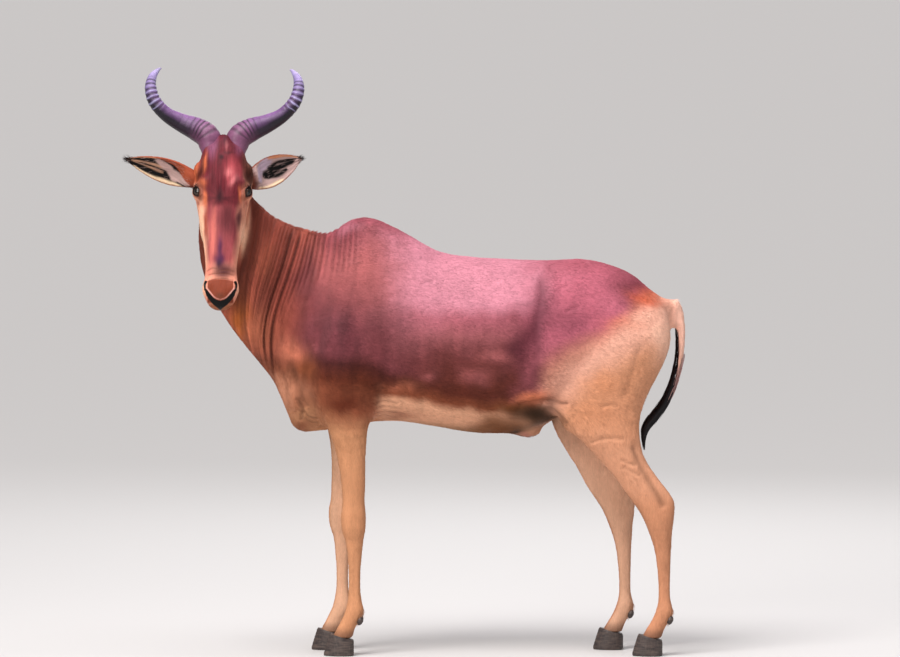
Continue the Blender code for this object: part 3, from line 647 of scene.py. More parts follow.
# Soft swellings (+) and hollows (-) of the body's sides: X, Y, Z, their radii, height
BODY_FORMS = (
    ((0.19, 0.16, 0.88), (0.045, 0.1, 0.08), -0.01),  # hollow of the flank
    ((0.14, 0.15, 1.03), (0.09, 0.1, 0.03), -0.0035),  # under the loin
    ((0.25, 0.14, 1.03), (0.022, 0.08, 0.06), 0.005),  # hip bone
    ((0.33, 0.14, 0.87), (0.09, 0.1, 0.1), 0.005),  # thigh
    ((0.3, 0.14, 0.745), (0.05, 0.08, 0.05), 0.0045),  # stifle
    ((0.415, 0.12, 0.965), (0.05, 0.08, 0.05), 0.0035),  # hip joint
    ((-0.2, 0.15, 0.79), (0.034, 0.08, 0.11), -0.0055),  # behind the triceps
    ((-0.285, 0.15, 0.79), (0.06, 0.08, 0.08), 0.005),  # triceps
    ((-0.29, 0.14, 1.0), (0.07, 0.08, 0.1), 0.0035),  # shoulder blade
    ((-0.395, 0.12, 0.82), (0.04, 0.06, 0.055), 0.004),  # point of the shoulder
    ((-0.345, 0.13, 0.905), (0.026, 0.08, 0.085), -0.003),  # before the shoulder blade
    ((0.0, 0.18, 0.83), (0.16, 0.1, 0.13), 0.004),  # ribs
    ((0.14, 0.16, 0.69), (0.09, 0.1, 0.03), -0.003),  # above the belly
    ((0.24, 0.12, 0.668), (0.034, 0.08, 0.022), -0.007),  # under the fold of the flank
    ((-0.255, 0.0, 1.205), (0.075, 0.07, 0.04), 0.0075),  # top of the withers
    ((-0.47, 0.0, 1.155), (0.085, 0.05, 0.035), 0.0065),  # nape
    ((0.455, 0.0, 1.035), (0.075, 0.07, 0.04), 0.0045),  # croup
    ((-0.294, 0.1, 0.365), (0.03, 0.03, 0.03), 0.0016),  # knee
    ((-0.294, 0.1, 0.318), (0.04, 0.05, 0.012), -0.0012),  # below the knee
    ((0.545, 0.11, 0.365), (0.03, 0.04, 0.03), 0.0015),  # hock
    ((0.5, 0.12, 0.435), (0.018, 0.04, 0.045), -0.0018),  # before the point of the hock
    ((-0.29, 0.09, 0.2), (0.007, 0.05, 0.07), -0.0016),  # between cannon bone and tendons
    ((0.566, 0.1, 0.21), (0.007, 0.05, 0.08), -0.0016),
)
# Creases of the body's sides, in X and Z: line, half width, depth
BODY_CREASES = (
    # fold of the flank and its edge, and before the hip
    (((0.15, 0.693), (0.193, 0.703), (0.24, 0.708), (0.275, 0.7), (0.303, 0.703)), 0.006, 0.0045),
    (((0.225, 0.702), (0.262, 0.682), (0.3, 0.652), (0.332, 0.598)), 0.008, -0.005),
    (((0.222, 1.07), (0.224, 1.01), (0.214, 0.95), (0.212, 0.88), (0.222, 0.81)), 0.013, 0.0028),
    # between the muscles of the thigh and the lower leg
    (((0.498, 0.88), (0.482, 0.82), (0.462, 0.76), (0.45, 0.71)), 0.013, 0.002),
    (((0.38, 0.692), (0.412, 0.7), (0.436, 0.695)), 0.0045, 0.0022),
    (((0.35, 0.59), (0.4, 0.606), (0.455, 0.604)), 0.006, 0.002),
    (((0.445, 0.53), (0.47, 0.512), (0.5, 0.5)), 0.005, 0.002),
    (((0.438, 0.548), (0.462, 0.536), (0.49, 0.53)), 0.0045, 0.0018),
    (((0.47, 0.6), (0.5, 0.52), (0.54, 0.45), (0.562, 0.405)), 0.009, 0.0055),  # before the Achilles tendon
    (((-0.232, 0.69), (-0.205, 0.7), (-0.165, 0.694)), 0.0045, 0.003),  # wrinkles behind the elbow
    (((-0.236, 0.678), (-0.2, 0.684), (-0.15, 0.676)), 0.004, 0.0026),
    (((-0.238, 0.664), (-0.2, 0.669), (-0.145, 0.661)), 0.004, 0.0026),
    (((-0.236, 0.652), (-0.205, 0.655), (-0.16, 0.649)), 0.0035, 0.0022),
    (((-0.232, 0.76), (-0.222, 0.72), (-0.226, 0.68)), 0.012, 0.0045),  # behind the elbow
    (((-0.452, 0.712), (-0.436, 0.674), (-0.44, 0.64)), 0.006, 0.0045),  # brisket
    (((-0.44, 0.672), (-0.415, 0.654), (-0.39, 0.648)), 0.005, 0.004),
    (((-0.432, 0.652), (-0.41, 0.638), (-0.385, 0.634)), 0.0045, 0.0035),
    (((-0.462, 0.8), (-0.44, 0.72), (-0.42, 0.68)), 0.008, 0.0035),
    (((-0.488, 0.8), (-0.466, 0.725), (-0.452, 0.668)), 0.007, -0.003),
    (((-0.11, 1.028), (-0.092, 1.036), (-0.07, 1.038)), 0.006, 0.0016),  # scars
    (((0.285, 0.952), (0.305, 0.962), (0.33, 0.966)), 0.006, 0.0016),
    (((0.27, 1.018), (0.3, 1.026)), 0.005, 0.0012),
    (((-0.04, 0.952), (-0.02, 0.958)), 0.005, 0.0012),
    (((-0.015, 0.942), (0.01, 0.936)), 0.005, 0.001),
)
CREASE_SHADE = 0.006  # the depth at which a crease is darkest
BODY_GRAIN, FACE_GRAIN = 0.0014, 0.0007  # heights of the skin's fine unevenness


def carve_body(mesh):
    """Shapes the body's skin, and returns how dark each point's creases make it."""
    points, normals = points_of(mesh), normals_of(mesh)
    height = -coat_depth(points)
    shade = np.zeros(len(points))
    body = 1 - in_head(points)
    mirrored = one_sided(points)
    leg_share = step(0.8, 0.6, points[:, 2])
    right = points[:, 1] > 0
    swings = {}
    for way, stride, top in ((-1, FORE_STRIDE, FORE_STRIDE_TOP), (1, HIND_STRIDE, HIND_STRIDE_TOP)):
        swings[way] = np.where(right, stride_at(points[:, 2], stride, top), 0) * leg_share
    for centre, radii, amount in BODY_FORMS:
        placed = mirrored.copy()
        placed[:, 0] -= swings[-1 if centre[0] < 0 else 1]
        height += amount * gauss(placed, centre, radii) * body
    outward = step(0.0, 0.5, normals[:, 1] * np.sign(points[:, 1])) * body
    for line, width, depth in BODY_CREASES:
        flat = points[:, [0, 2]].copy()
        flat[:, 0] -= swings[-1 if line[0][0] < 0 else 1]
        groove = groove_along(flat, line, width) * outward
        height -= depth * groove
        shade = np.maximum(shade, np.clip(depth / CREASE_SHADE, 0, 1) * groove)
    grain = noise(points, (0.06, 0.03, 0.03)) - 0.5 + 0.6 * (noise(points, (0.025, 0.014, 0.014), 3) - 0.5)
    height += BODY_GRAIN * grain * body * step(0.4, 0.6, points[:, 2])
    height -= CREASE_DEPTH * fold_groove(points, normals)
    set_points(mesh, points + normals * height[:, None])
    return shade


# ---------------------------------------------------------------- the head's features

EYE_BALL = 0.0194
EYE_AXIS = unit((-0.12, 0.6, 0.79))  # where the left eye looks, in the head's frame
EYE_CORNER = np.array((-1.0, -0.3, 0.15))  # towards the corner nearest the nose
EYE_LONG = unit(EYE_CORNER - EYE_AXIS * EYE_AXIS.dot(EYE_CORNER))
EYE_SHORT = np.cross(EYE_AXIS, EYE_LONG)
LID_NARROWING = 0.28
EYE_OPENING = (0.6, 0.47)  # half length and half height, as sines seen from the ball's middle
VIEW_RISE = 0.364  # how much a point that stands out of the face climbs in a view from straight ahead

# Lines on the front of the head: across, and height in the view from ahead. Those of the nose count on
# both sides, and each crease of the face only where it is.
NOSTRIL = ((0.04, 0.07), (0.0425, 0.064), (0.0428, 0.056), (0.0415, 0.047))
NOSE_TOP = ((0.0, 0.016), (0.01, 0.019), (0.018, 0.0245), (0.03, 0.039), (0.037, 0.049), (0.045, 0.056))
NOSE_FOOT = (
    (0.0, -0.012), (0.006, -0.006), (0.02, 0.0055), (0.031, 0.019), (0.0385, 0.031), (0.043, 0.048),
    (0.045, 0.056),
)
FACE_CREASES = (  # line, half width, depth
    (((0.039, 0.072), (0.024, 0.0775), (0.0, 0.08), (-0.024, 0.076), (-0.041, 0.068)), 0.0018, 0.0016),
    (((0.039, 0.088), (0.02, 0.093), (0.0, 0.094), (-0.02, 0.093), (-0.039, 0.088)), 0.0022, 0.0009),
    (((-0.008, 0.106), (-0.022, 0.11), (-0.04, 0.099)), 0.0022, 0.0009),
    (((0.038, 0.101), (0.015, 0.104), (-0.015, 0.1)), 0.0022, 0.0006),
    (((0.0, 0.024), (0.0005, -0.01)), 0.0014, 0.0018),
    (((0.008, 0.325), (0.0075, 0.36), (0.01, 0.405)), 0.0022, 0.0012),
    (((-0.008, 0.33), (-0.0095, 0.37), (-0.007, 0.415)), 0.002, 0.0012),
    (((0.02, 0.328), (0.023, 0.36), (0.021, 0.4)), 0.0022, 0.001),
    (((-0.021, 0.328), (-0.024, 0.365), (-0.022, 0.405)), 0.0022, 0.0011),
    (((0.033, 0.325), (0.037, 0.355)), 0.002, 0.0009),
    (((-0.034, 0.33), (-0.039, 0.365)), 0.002, 0.001),
)
MUZZLE_CREASES = 4  # the first ones, which lie on the muzzle
# Swellings and hollows: along, across, out, radii, height
FACE_FORMS = (
    ((0.2, 0.03, 0.0), (0.09, 0.008, 0.03), 0.0016),  # edge of the nasal bone
    ((0.215, 0.046, -0.018), (0.07, 0.01, 0.02), -0.0022),  # hollow beside it
    ((0.29, 0.052, -0.01), (0.016, 0.01, 0.02), -0.0026),  # gland before the eye
    ((0.362, 0.045, 0.016), (0.016, 0.018, 0.02), 0.0032),  # brow
    ((0.395, 0.066, -0.004), (0.03, 0.012, 0.03), -0.0026),  # temple
    ((0.33, 0.0, 0.02), (0.02, 0.014, 0.02), -0.0018),  # between the eyes
    ((0.405, 0.0, 0.02), (0.04, 0.016, 0.03), 0.002),  # forehead
    ((0.438, 0.002, 0.02), (0.009, 0.007, 0.02), -0.0022),  # whorl
    ((0.465, 0.0, 0.01), (0.02, 0.006, 0.03), -0.0014),  # between the horns' bases
    ((0.492, 0.036, 0.008), (0.031, 0.021, 0.04), -0.019),  # in front of the horns' bases
    ((0.455, 0.046, 0.014), (0.014, 0.012, 0.03), -0.003),
    ((0.24, 0.06, -0.07), (0.07, 0.03, 0.012), 0.002),  # crest of the cheek
    ((0.19, 0.05, -0.09), (0.02, 0.03, 0.03), -0.0022),  # before the cheek muscle
    ((0.12, 0.045, -0.045), (0.03, 0.02, 0.02), -0.0018),  # above the mouth's corner
    ((0.02, 0.0, -0.01), (0.02, 0.018, 0.02), 0.001),
)
MOUTH = ((-0.004, -0.05), (0.02, -0.0545), (0.06, -0.059), (0.105, -0.066))  # along and out, at the side
NOSTRIL_DEPTH, NOSTRIL_WIDTH, MOUTH_DEPTH, MOUTH_WIDTH = 0.006, 0.0026, 0.003, 0.0022
EAR_WALL, EAR_RIM_INSET, EAR_OPENS, EAR_OPENING_SPAN = 0.004, 0.9, 0.1, 0.3
EAR_COAT_DEPTH, EAR_TIP_COAT_DEPTH, EAR_LEAST_WIDTH, EAR_LEAST_CUP = 0.0012, 0.002, 0.0015, 0.0012
EAR_BACK_POINTS, EAR_INSIDE_POINTS = 30, 30
LID_POINTS, LID_SIDES = 72, 10
LID_THICKNESS, LID_CREASE_DEPTH, LID_RIM_OUT, LID_RIM_RADIUS = 0.0012, 0.0012, 0.0007, 0.001


def eye_place(place):
    """For points of the head's frame, both eyes as one: direction from the ball's middle and distance."""
    mirrored = one_sided(place)
    away = mirrored - EYE_CENTRE
    distance = np.linalg.norm(away, axis=1)
    way = away / np.maximum(distance, 1e-9)[:, None]
    return way @ EYE_LONG, way @ EYE_SHORT, way @ EYE_AXIS, distance


def opening_measure(long, short):
    """Below 1 inside the lids' almond-shaped opening."""
    half_long, half_short = EYE_OPENING
    narrowing = 1 - LID_NARROWING * np.clip(long / half_long, -1, 1) ** 2
    return (long / half_long) ** 2 + (short / (half_short * narrowing)) ** 2


def front_view(place):
    """Across, and height in the view from ahead."""
    return np.stack([place[:, 1], place[:, 0] + VIEW_RISE * place[:, 2]], 1)


def carve_head(mesh):
    points, normals = points_of(mesh), normals_of(mesh)
    place, facing = to_head(points), normals @ HEAD_AXES.T
    head = in_head(points)
    mirrored = one_sided(place)
    front = front_view(place)
    front_sides = np.stack([abs(front[:, 0]), front[:, 1]], 1)
    ahead = step(0.0, 0.5, facing @ unit((-0.34, 0, 0.94)))
    height = np.zeros(len(points))
    for centre, radii, amount in FACE_FORMS:
        height += amount * gauss(mirrored, centre, radii)
    for line, width, depth in FACE_CREASES:
        height -= depth * groove_along(front, line, width) * ahead
    nostril = groove_along(front_sides, NOSTRIL, NOSTRIL_WIDTH, 0.25)
    height -= NOSTRIL_DEPTH * nostril * step(0.11, 0.09, place[:, 0])
    mouth = groove_along(place[:, [0, 2]], MOUTH, MOUTH_WIDTH, 0.05)
    height -= MOUTH_DEPTH * mouth * step(0.13, 0.11, place[:, 0])
    height += FACE_GRAIN * (noise(place, (0.03, 0.008, 0.008), 5) - 0.5)
    points = points + normals * (height * head)[:, None]
    long, short, outward, distance = eye_place(to_head(points))
    measure = opening_measure(long, short)
    front_half = step(-0.35, 0.05, outward)
    lid = EYE_BALL + LID_THICKNESS + LID_THICKNESS * np.exp(-(((measure - 1.5) / 0.5) ** 2))
    lid_share = step(0.034, 0.022, distance) * front_half
    new_distance = distance + lid_share * np.maximum(lid - distance, 0)
    crease = np.exp(-(((measure - 2.6) / 0.5) ** 2)) * step(0.2, 0.5, outward)
    new_distance -= LID_CREASE_DEPTH * crease * step(0.034, 0.024, distance)
    hidden = step(1.06, 0.8, measure) * step(0.15, 0.4, outward) * step(0.04, 0.03, distance)
    new_distance += hidden * (EYE_BALL * 0.8 - new_distance)
    away = points - on_eye_centre(place)
    set_points(mesh, points + away / distance[:, None] * (new_distance - distance)[:, None])


def on_eye_centre(place):
    """The nearer eye's middle for each point of the head's frame, in the animal's frame."""
    along, across, out = EYE_CENTRE
    return np.where(place[:, 1:2] >= 0, head_point(along, across, out), head_point(along, -across, out))


def ear_axes(sign):
    tip_way, open_way = (unit(way) for way in EAR_WAYS[sign])
    open_way = unit(open_way - tip_way * open_way.dot(tip_way))
    return tip_way, open_way, np.cross(tip_way, open_way)


def ear_shape(sign):
    """A leaf-shaped cup, with the share along it, the place across it and 1 on its inside, for each point."""
    tip_way, open_way, wide_way = ear_axes(sign)
    root = ear_root(sign)
    rings, marks = [], []
    for share, half_width, cup in catmull_rom(EAR, 9):
        half_width = max(half_width - EAR_COAT_DEPTH, EAR_LEAST_WIDTH)
        cup = max(cup - EAR_COAT_DEPTH, EAR_LEAST_CUP)
        centre = root + tip_way * share * (EAR_LENGTH - EAR_TIP_COAT_DEPTH)
        opening = float(step(0, 1, (share - EAR_OPENS) / EAR_OPENING_SPAN))
        ring = []
        for k in range(EAR_BACK_POINTS):
            angle = math.pi * k / (EAR_BACK_POINTS - 1)
            ring.append(centre + wide_way * half_width * math.cos(angle) - open_way * cup * math.sin(angle))
            marks.append((share, math.cos(angle), 0.0))
        inner_cup = max(cup - EAR_WALL, 0.15 * cup)
        for k in range(1, EAR_INSIDE_POINTS - 1):
            angle = math.pi * (1 - k / (EAR_INSIDE_POINTS - 1))
            across = math.cos(angle)
            ridge = 0.0011 * opening * math.cos(across * 9.5) * (1 - across**4)
            height = cup * 0.85 * (1 - opening) - inner_cup * opening + ridge
            beside = centre + wide_way * half_width * EAR_RIM_INSET * across
            ring.append(beside + open_way * height * math.sin(angle))
            marks.append((share, across, 1.0))
        rings.append(ring)
    points, faces = loft(rings)
    marks += [marks[0], (1.0, 0.0, 1.0)]
    return points, faces, np.array(marks)


def lid_shape(sign):
    """The dark rim of the lids, a thin closed ring round the opening."""
    rings = []
    middle = np.array(EYE_CENTRE)
    for angle in np.linspace(0, 2 * math.pi, LID_POINTS, endpoint=False):
        long = EYE_OPENING[0] * math.cos(angle)
        short = EYE_OPENING[1] * math.sin(angle) * (1 - LID_NARROWING * math.cos(angle) ** 2)
        way = long * EYE_LONG + short * EYE_SHORT + math.sqrt(1 - long**2 - short**2) * EYE_AXIS
        rings.append(middle + way * (EYE_BALL + LID_RIM_OUT))
    centres = np.array(rings)
    points, faces = [], []
    for i, centre in enumerate(centres):
        ahead = unit(centres[(i + 1) % LID_POINTS] - centres[i - 1])
        up = unit(centre - middle)
        side = np.cross(ahead, up)
        points.append(oval(centre, up * LID_RIM_RADIUS, side * LID_RIM_RADIUS, sides=LID_SIDES))
        for k in range(LID_SIDES):
            n = (k + 1) % LID_SIDES
            j = (i + 1) % LID_POINTS
            here, there = i * LID_SIDES, j * LID_SIDES
            faces.append((here + k, here + n, there + n, there + k))
    place = np.vstack(points) * (1, -sign, 1)
    return on_head(place), faces if sign == LEFT else turned_over(faces)


# ---------------------------------------------------------------- markings


def srgb(*values):
    value = np.array(values, float) / 255
    return np.where(value <= 0.04045, value / 12.92, ((value + 0.055) / 1.055) ** 2.4)


def opaque(*values):
    return (*srgb(*values), 1)


# Several of these stand in for light: the back's pink, the pale nose rim and the pink of the face's and the
# shoulder's highlights are painted highlights and sheen; the lower flank, the underbelly, the recesses and
# hollows, one half of the bridge and the creases of the neck and muzzle carry painted shade.
SRGB_COLOURS = {
    "flank": (160, 86, 97), "back": (196, 126, 141), "spine": (158, 80, 92), "shoulder": (114, 55, 59),
    "shoulder_top": (158, 84, 84), "withers": (134, 65, 72), "shaded_low_flank": (104, 49, 48),
    "hollow": (94, 40, 50), "croup": (176, 92, 108), "dark_croup": (94, 38, 44), "ember": (198, 92, 60),
    "mid_flank": (146, 80, 84), "shaded_flank_foot": (96, 42, 30), "purple": (92, 40, 50),
    "edge_shoulder": (74, 29, 24), "elbow": (98, 43, 25), "upper_leg": (152, 84, 58),
    "light_flank": (172, 96, 96), "hip_shade": (118, 57, 70), "gaskin": (220, 158, 124),
    "brown_chest": (134, 70, 40), "nape_back": (150, 72, 50), "red_elbow": (176, 102, 78),
    "dark_elbow": (92, 34, 16), "dark_brisket": (138, 80, 56), "brown_belly": (116, 66, 32),
    "sheath": (184, 122, 106), "dim_belly": (166, 108, 84), "dark_shoulder": (104, 46, 52),
    "belly": (232, 172, 138), "belly_edge": (142, 76, 50), "shaded_underbelly": (150, 110, 80),
    "fold_skin": (240, 140, 100), "recess_shadow": (46, 26, 5), "tan": (226, 168, 146), "thigh": (214, 150, 114),
    "low_thigh": (212, 143, 104), "pale_tan": (250, 198, 172), "shank": (196, 136, 102),
    "fore_shank": (200, 141, 102), "inner_leg": (222, 180, 152), "coronet": (104, 70, 54),
    "neck": (170, 86, 70), "jaw_shadow": (86, 36, 22), "low_neck": (196, 114, 84), "throat": (182, 98, 42),
    "chest": (216, 148, 116), "shoulder_point": (220, 130, 102), "brisket": (186, 132, 96),
    "fold": (52, 18, 14), "cheek": (232, 160, 132), "pale_cheek": (255, 206, 172), "jaw": (196, 120, 92),
    "bridge": (140, 64, 68), "bridge_light": (198, 106, 94), "shaded_bridge": (88, 34, 39),
    "red_shade": (150, 62, 46), "plum": (60, 18, 34), "blaze": (70, 27, 60), "blaze_core": (40, 22, 46),
    "forehead": (94, 27, 36), "rosy": (176, 76, 82), "face_highlight": (232, 140, 140), "mauve": (132, 78, 104),
    "whorl": (44, 12, 20), "orange": (234, 126, 80), "brow": (190, 100, 66), "temple": (58, 22, 14),
    "muzzle": (222, 144, 120), "muzzle_rosy": (66, 24, 32), "nose_hair": (126, 57, 37),
    "nose_hair_low": (92, 50, 34), "nose_rim_highlight": (232, 168, 154), "nose": (5, 3, 7), "chin": (150, 90, 62),
    "lip_and_crease_shade": (104, 58, 44), "lid": (30, 14, 13), "lid_skin": (120, 62, 46), "ear_back": (160, 76, 50),
    "ear_tip": (30, 20, 20), "ear_rim": (222, 150, 112), "ear_pale": (240, 212, 176),
    "ear_hair": (196, 164, 158), "ear_lobe": (200, 178, 194), "ear_dark": (8, 5, 4),
    "ear_streak": (188, 144, 118), "tail": (252, 198, 176), "tail_line": (16, 9, 11),
}
PALETTE = {name: srgb(*colour) for name, colour in SRGB_COLOURS.items()}

# Colours that change with the height, from the top down. On the flanks the pink top rung is a painted sheen,
# and the darker lowest rungs are the flank's brown with painted shade towards the belly.
FLANK_RUNGS = (
    (0.98, "back"), (0.94, "flank"), (0.885, "mid_flank"), (0.828, "shaded_low_flank"), (0.75, "shaded_flank_foot"),
)
SHOULDER_RUNGS = (
    (1.15, "withers"), (1.08, "shoulder_top"), (0.91, "shoulder"), (0.835, "shoulder"),
    (0.8, "edge_shoulder"), (0.75, "elbow"), (0.69, "upper_leg"), (0.61, "fore_shank"),
)
CROUP_RUNGS = ((0.9, "croup"), (0.84, "flank"))
# Soft patches: colour, strength, middle, radii, and unless they are 1 and 0, the firmness of the edge and
# the lean of the upper end. On the body the middle is X and Z.
BODY_PAINT = (
    ("purple", 0.6, (-0.33, 0.905), (0.075, 0.085), 1.0, 0.15),
    ("dark_elbow", 0.85, (-0.322, 0.704), (0.05, 0.024), 1.1, 0.0),
    ("red_elbow", 0.8, (-0.165, 0.742), (0.042, 0.02), 1.1, 0.1),
    ("withers", 0.75, (-0.225, 1.19), (0.075, 0.03), 1.0, -0.3),
    ("flank", 0.5, (-0.02, 0.945), (0.034, 0.022)),
    ("croup", 0.8, (0.386, 1.066), (0.06, 0.014), 1.0, -0.1),
    ("shoulder_top", 0.6, (-0.245, 1.05), (0.05, 0.09)),
    # the back's pink in the two patches below is a painted sheen
    ("back", 0.55, (-0.318, 1.18), (0.03, 0.02), 1.0, 0.6),
    ("back", 0.6, (-0.11, 1.02), (0.09, 0.09), 1.0, 0.3),
    ("light_flank", 0.85, (0.096, 0.826), (0.046, 0.019), 1.1, -0.4),
    ("light_flank", 0.45, (-0.095, 0.776), (0.022, 0.018)),
    ("light_flank", 0.55, (0.045, 0.772), (0.04, 0.022), 1.0, -0.2),
    ("hip_shade", 0.5, (0.3, 0.93), (0.075, 0.036), 1.0, -0.2),
    # the dark patches in the flank's hollow are painted shade
    ("hollow", 0.6, (0.222, 0.784), (0.026, 0.022)), ("hollow", 0.9, (0.184, 0.88), (0.04, 0.08), 1.2, 0.3),
    ("hollow", 0.6, (0.14, 0.85), (0.034, 0.03), 1.0, 0.3),
    ("hip_shade", 0.85, (0.222, 0.965), (0.024, 0.095), 1.1, 0.1),
    ("dark_croup", 0.9, (0.462, 1.005), (0.046, 0.042), 1.2, -0.4),
    # a narrow painted highlight on the ridge before the hip bone
    ("back", 0.7, (0.206, 1.05), (0.012, 0.03), 1.0, 0.3),
)
NECK_PAINT = (
    ("low_neck", 0.8, (-0.56, 0.89), (0.05, 0.08)), ("throat", 0.9, (-0.615, 0.93), (0.03, 0.1)),
    ("low_neck", 0.35, (-0.54, 1.09), (0.03, 0.06)), ("chest", 0.9, (-0.478, 0.72), (0.06, 0.06), 1.1, 0.0),
    ("dark_shoulder", 0.75, (-0.425, 1.05), (0.048, 0.085), 1.1, 0.1),
    ("dark_shoulder", 0.4, (-0.37, 0.995), (0.04, 0.05)),
    # a pale pink painted highlight on the point of the shoulder
    ("shoulder_point", 0.95, (-0.468, 0.842), (0.036, 0.036), 1.0, -0.2),
    ("brown_chest", 0.7, (-0.43, 0.79), (0.044, 0.03), 1.0, -0.4),
    ("brisket", 0.85, (-0.425, 0.66), (0.052, 0.046)), ("dark_brisket", 0.55, (-0.44, 0.7), (0.026, 0.026)),
    ("dark_brisket", 0.85, (-0.445, 0.628), (0.04, 0.018)),
)
HIND_PAINT = (
    ("ember", 0.8, (0.512, 0.984), (0.04, 0.018), 1.1, -1.1),
    ("ember", 0.25, (0.44, 0.92), (0.05, 0.016), 1.0, 1.3),
    ("pale_tan", 0.85, (0.556, 0.88), (0.034, 0.06)),
    ("low_thigh", 0.8, (0.39, 0.762), (0.05, 0.03), 1.1, 0.0),
    ("low_thigh", 0.6, (0.36, 0.68), (0.06, 0.05)),
    ("fold_skin", 0.9, (0.2, 0.72), (0.04, 0.022), 1.1, 1.2),
    # a dark strip of painted shade along the groove between the thigh's muscles
    ("low_thigh", 0.3, (0.47, 0.77), (0.014, 0.08), 1.0, 0.3),
    ("belly_edge", 0.7, (0.236, 0.712), (0.034, 0.014)),
)
BELLY_PAINT = (
    ("dim_belly", 0.75, (-0.165, 0.668), (0.05, 0.016), 1.1, 0.0),
    ("brown_belly", 0.95, (0.11, 0.624), (0.09, 0.04), 1.2, -0.1),
    # the near-black recess patches are painted shadow, by the sheath and under the fold of the flank
    ("brown_belly", 0.8, (0.15, 0.686), (0.055, 0.018)), ("recess_shadow", 0.92, (0.15, 0.614), (0.024, 0.016)),
    ("recess_shadow", 0.97, (0.202, 0.664), (0.056, 0.032), 1.5, -0.3),
    ("recess_shadow", 0.85, (0.246, 0.664), (0.032, 0.022), 1.0, -0.3),
    ("sheath", 0.9, (0.186, 0.601), (0.022, 0.011), 1.2, 0.0),
)
# Height of the belly's pale hair along the body: X, Z
BELLY_LINE = ((-0.22, 0.704), (-0.1, 0.712), (-0.04, 0.702), (0.07, 0.674), (0.13, 0.664), (0.22, 0.684))
RUMP_LINE = (0.289, 0.8, 0.774)  # a place on the edge of the pale rump, X and Z, and the edge's slope
# On the face the middle is the place across, and the height in the view from ahead.
CHEEK_PAINT = (
    ("pale_cheek", 0.95, (-0.058, 0.19), (0.013, 0.088), 1.5, 0.0),
    ("pale_cheek", 0.6, (-0.05, 0.12), (0.01, 0.04)),
    ("pale_cheek", 0.75, (0.058, 0.185), (0.009, 0.05), 1.1, 0.0),
    ("pale_cheek", 0.8, (0.077, 0.225), (0.014, 0.07), 1.3, 0.12),
    ("pale_cheek", 0.8, (0.061, 0.155), (0.01, 0.035), 1.1, 0.0),
)
FACE_PAINT = (
    ("red_shade", 0.85, (-0.043, 0.236), (0.0062, 0.042), 1.3, 0.0),
    ("bridge_light", 0.8, (-0.0245, 0.205), (0.0085, 0.085), 1.3, 0.03),
    # painted shade on the half of the bridge on the animal's left, over the bridge's own maroon
    ("shaded_bridge", 0.9, (0.016, 0.25), (0.023, 0.052), 1.6, 0.0),
    ("bridge", 0.6, (0.018, 0.17), (0.018, 0.045)),
    ("plum", 0.9, (0.048, 0.256), (0.008, 0.034), 1.2, 0.15),
    ("red_shade", 0.3, (0.064, 0.26), (0.01, 0.045)), ("bridge_light", 0.4, (0.033, 0.125), (0.01, 0.03)),
    ("blaze", 0.9, (-0.003, 0.168), (0.0075, 0.034), 1.3, 0.0),
    ("blaze", 0.95, (-0.003, 0.132), (0.013, 0.021), 1.4, 0.0),
    ("blaze_core", 0.75, (-0.005, 0.122), (0.0065, 0.012)),
    ("forehead", 0.75, (0.006, 0.306), (0.056, 0.016), 1.3, 0.0),
    ("rosy", 0.85, (0.022, 0.392), (0.015, 0.04), 1.2, 0.0),
    ("forehead", 0.8, (-0.029, 0.38), (0.015, 0.034), 1.1, 0.0),
    ("mauve", 0.85, (-0.03, 0.468), (0.015, 0.04), 1.4, 0.1),
    ("mauve", 0.8, (0.043, 0.472), (0.015, 0.032), 1.4, -0.1), ("rosy", 0.6, (0.046, 0.398), (0.01, 0.026)),
    ("orange", 0.6, (-0.05, 0.416), (0.0055, 0.028), 1.2, 0.1),
    ("brow", 0.8, (-0.054, 0.356), (0.012, 0.014), 1.1, 0.0),
    ("orange", 0.7, (-0.048, 0.312), (0.0055, 0.024), 1.2, -0.05),
    ("orange", 0.5, (0.048, 0.322), (0.0045, 0.022), 1.2, 0.0),
    # pink painted highlights over the left eye's brow and on the forehead
    ("face_highlight", 0.5, (0.029, 0.364), (0.007, 0.014), 1.0, 0.25),
    ("face_highlight", 0.45, (0.018, 0.39), (0.01, 0.012)),
    ("temple", 0.85, (-0.064, 0.385), (0.0085, 0.024), 1.2, 0.25),
    ("brow", 0.8, (-0.073, 0.4), (0.0045, 0.018), 1.0, 0.2),
    ("temple", 0.95, (0.07, 0.385), (0.013, 0.036), 1.4, -0.1),
    ("temple", 0.6, (0.056, 0.415), (0.008, 0.022), 1.2, -0.1),
    ("whorl", 0.9, (-0.006, 0.432), (0.007, 0.0075), 1.3, 0.0),
    ("whorl", 0.6, (0.015, 0.445), (0.015, 0.005), 1.2, 0.0),
    # a thin pink painted highlight between the horns' bases
    ("face_highlight", 0.3, (0.009, 0.468), (0.003, 0.016), 1.1, -0.05),
    ("plum", 0.6, (0.006, 0.485), (0.012, 0.022), 1.2, 0.0),
    ("forehead", 0.6, (0.028, 0.462), (0.014, 0.014)),
    ("brow", 0.85, (-0.084, 0.4), (0.011, 0.028), 1.2, 0.0),
    ("temple", 0.9, (0.086, 0.398), (0.013, 0.034), 1.3, 0.0),
    ("whorl", 0.9, (-0.0085, 0.318), (0.0105, 0.02), 1.1, 0.0),
    ("whorl", 0.45, (0.006, 0.312), (0.016, 0.006)),
    ("whorl", 0.6, (-0.006, 0.34), (0.0035, 0.02), 1.0, 0.08),
    ("red_shade", 0.7, (-0.066, 0.298), (0.007, 0.008)), ("red_shade", 0.6, (0.066, 0.298), (0.007, 0.008)),
)
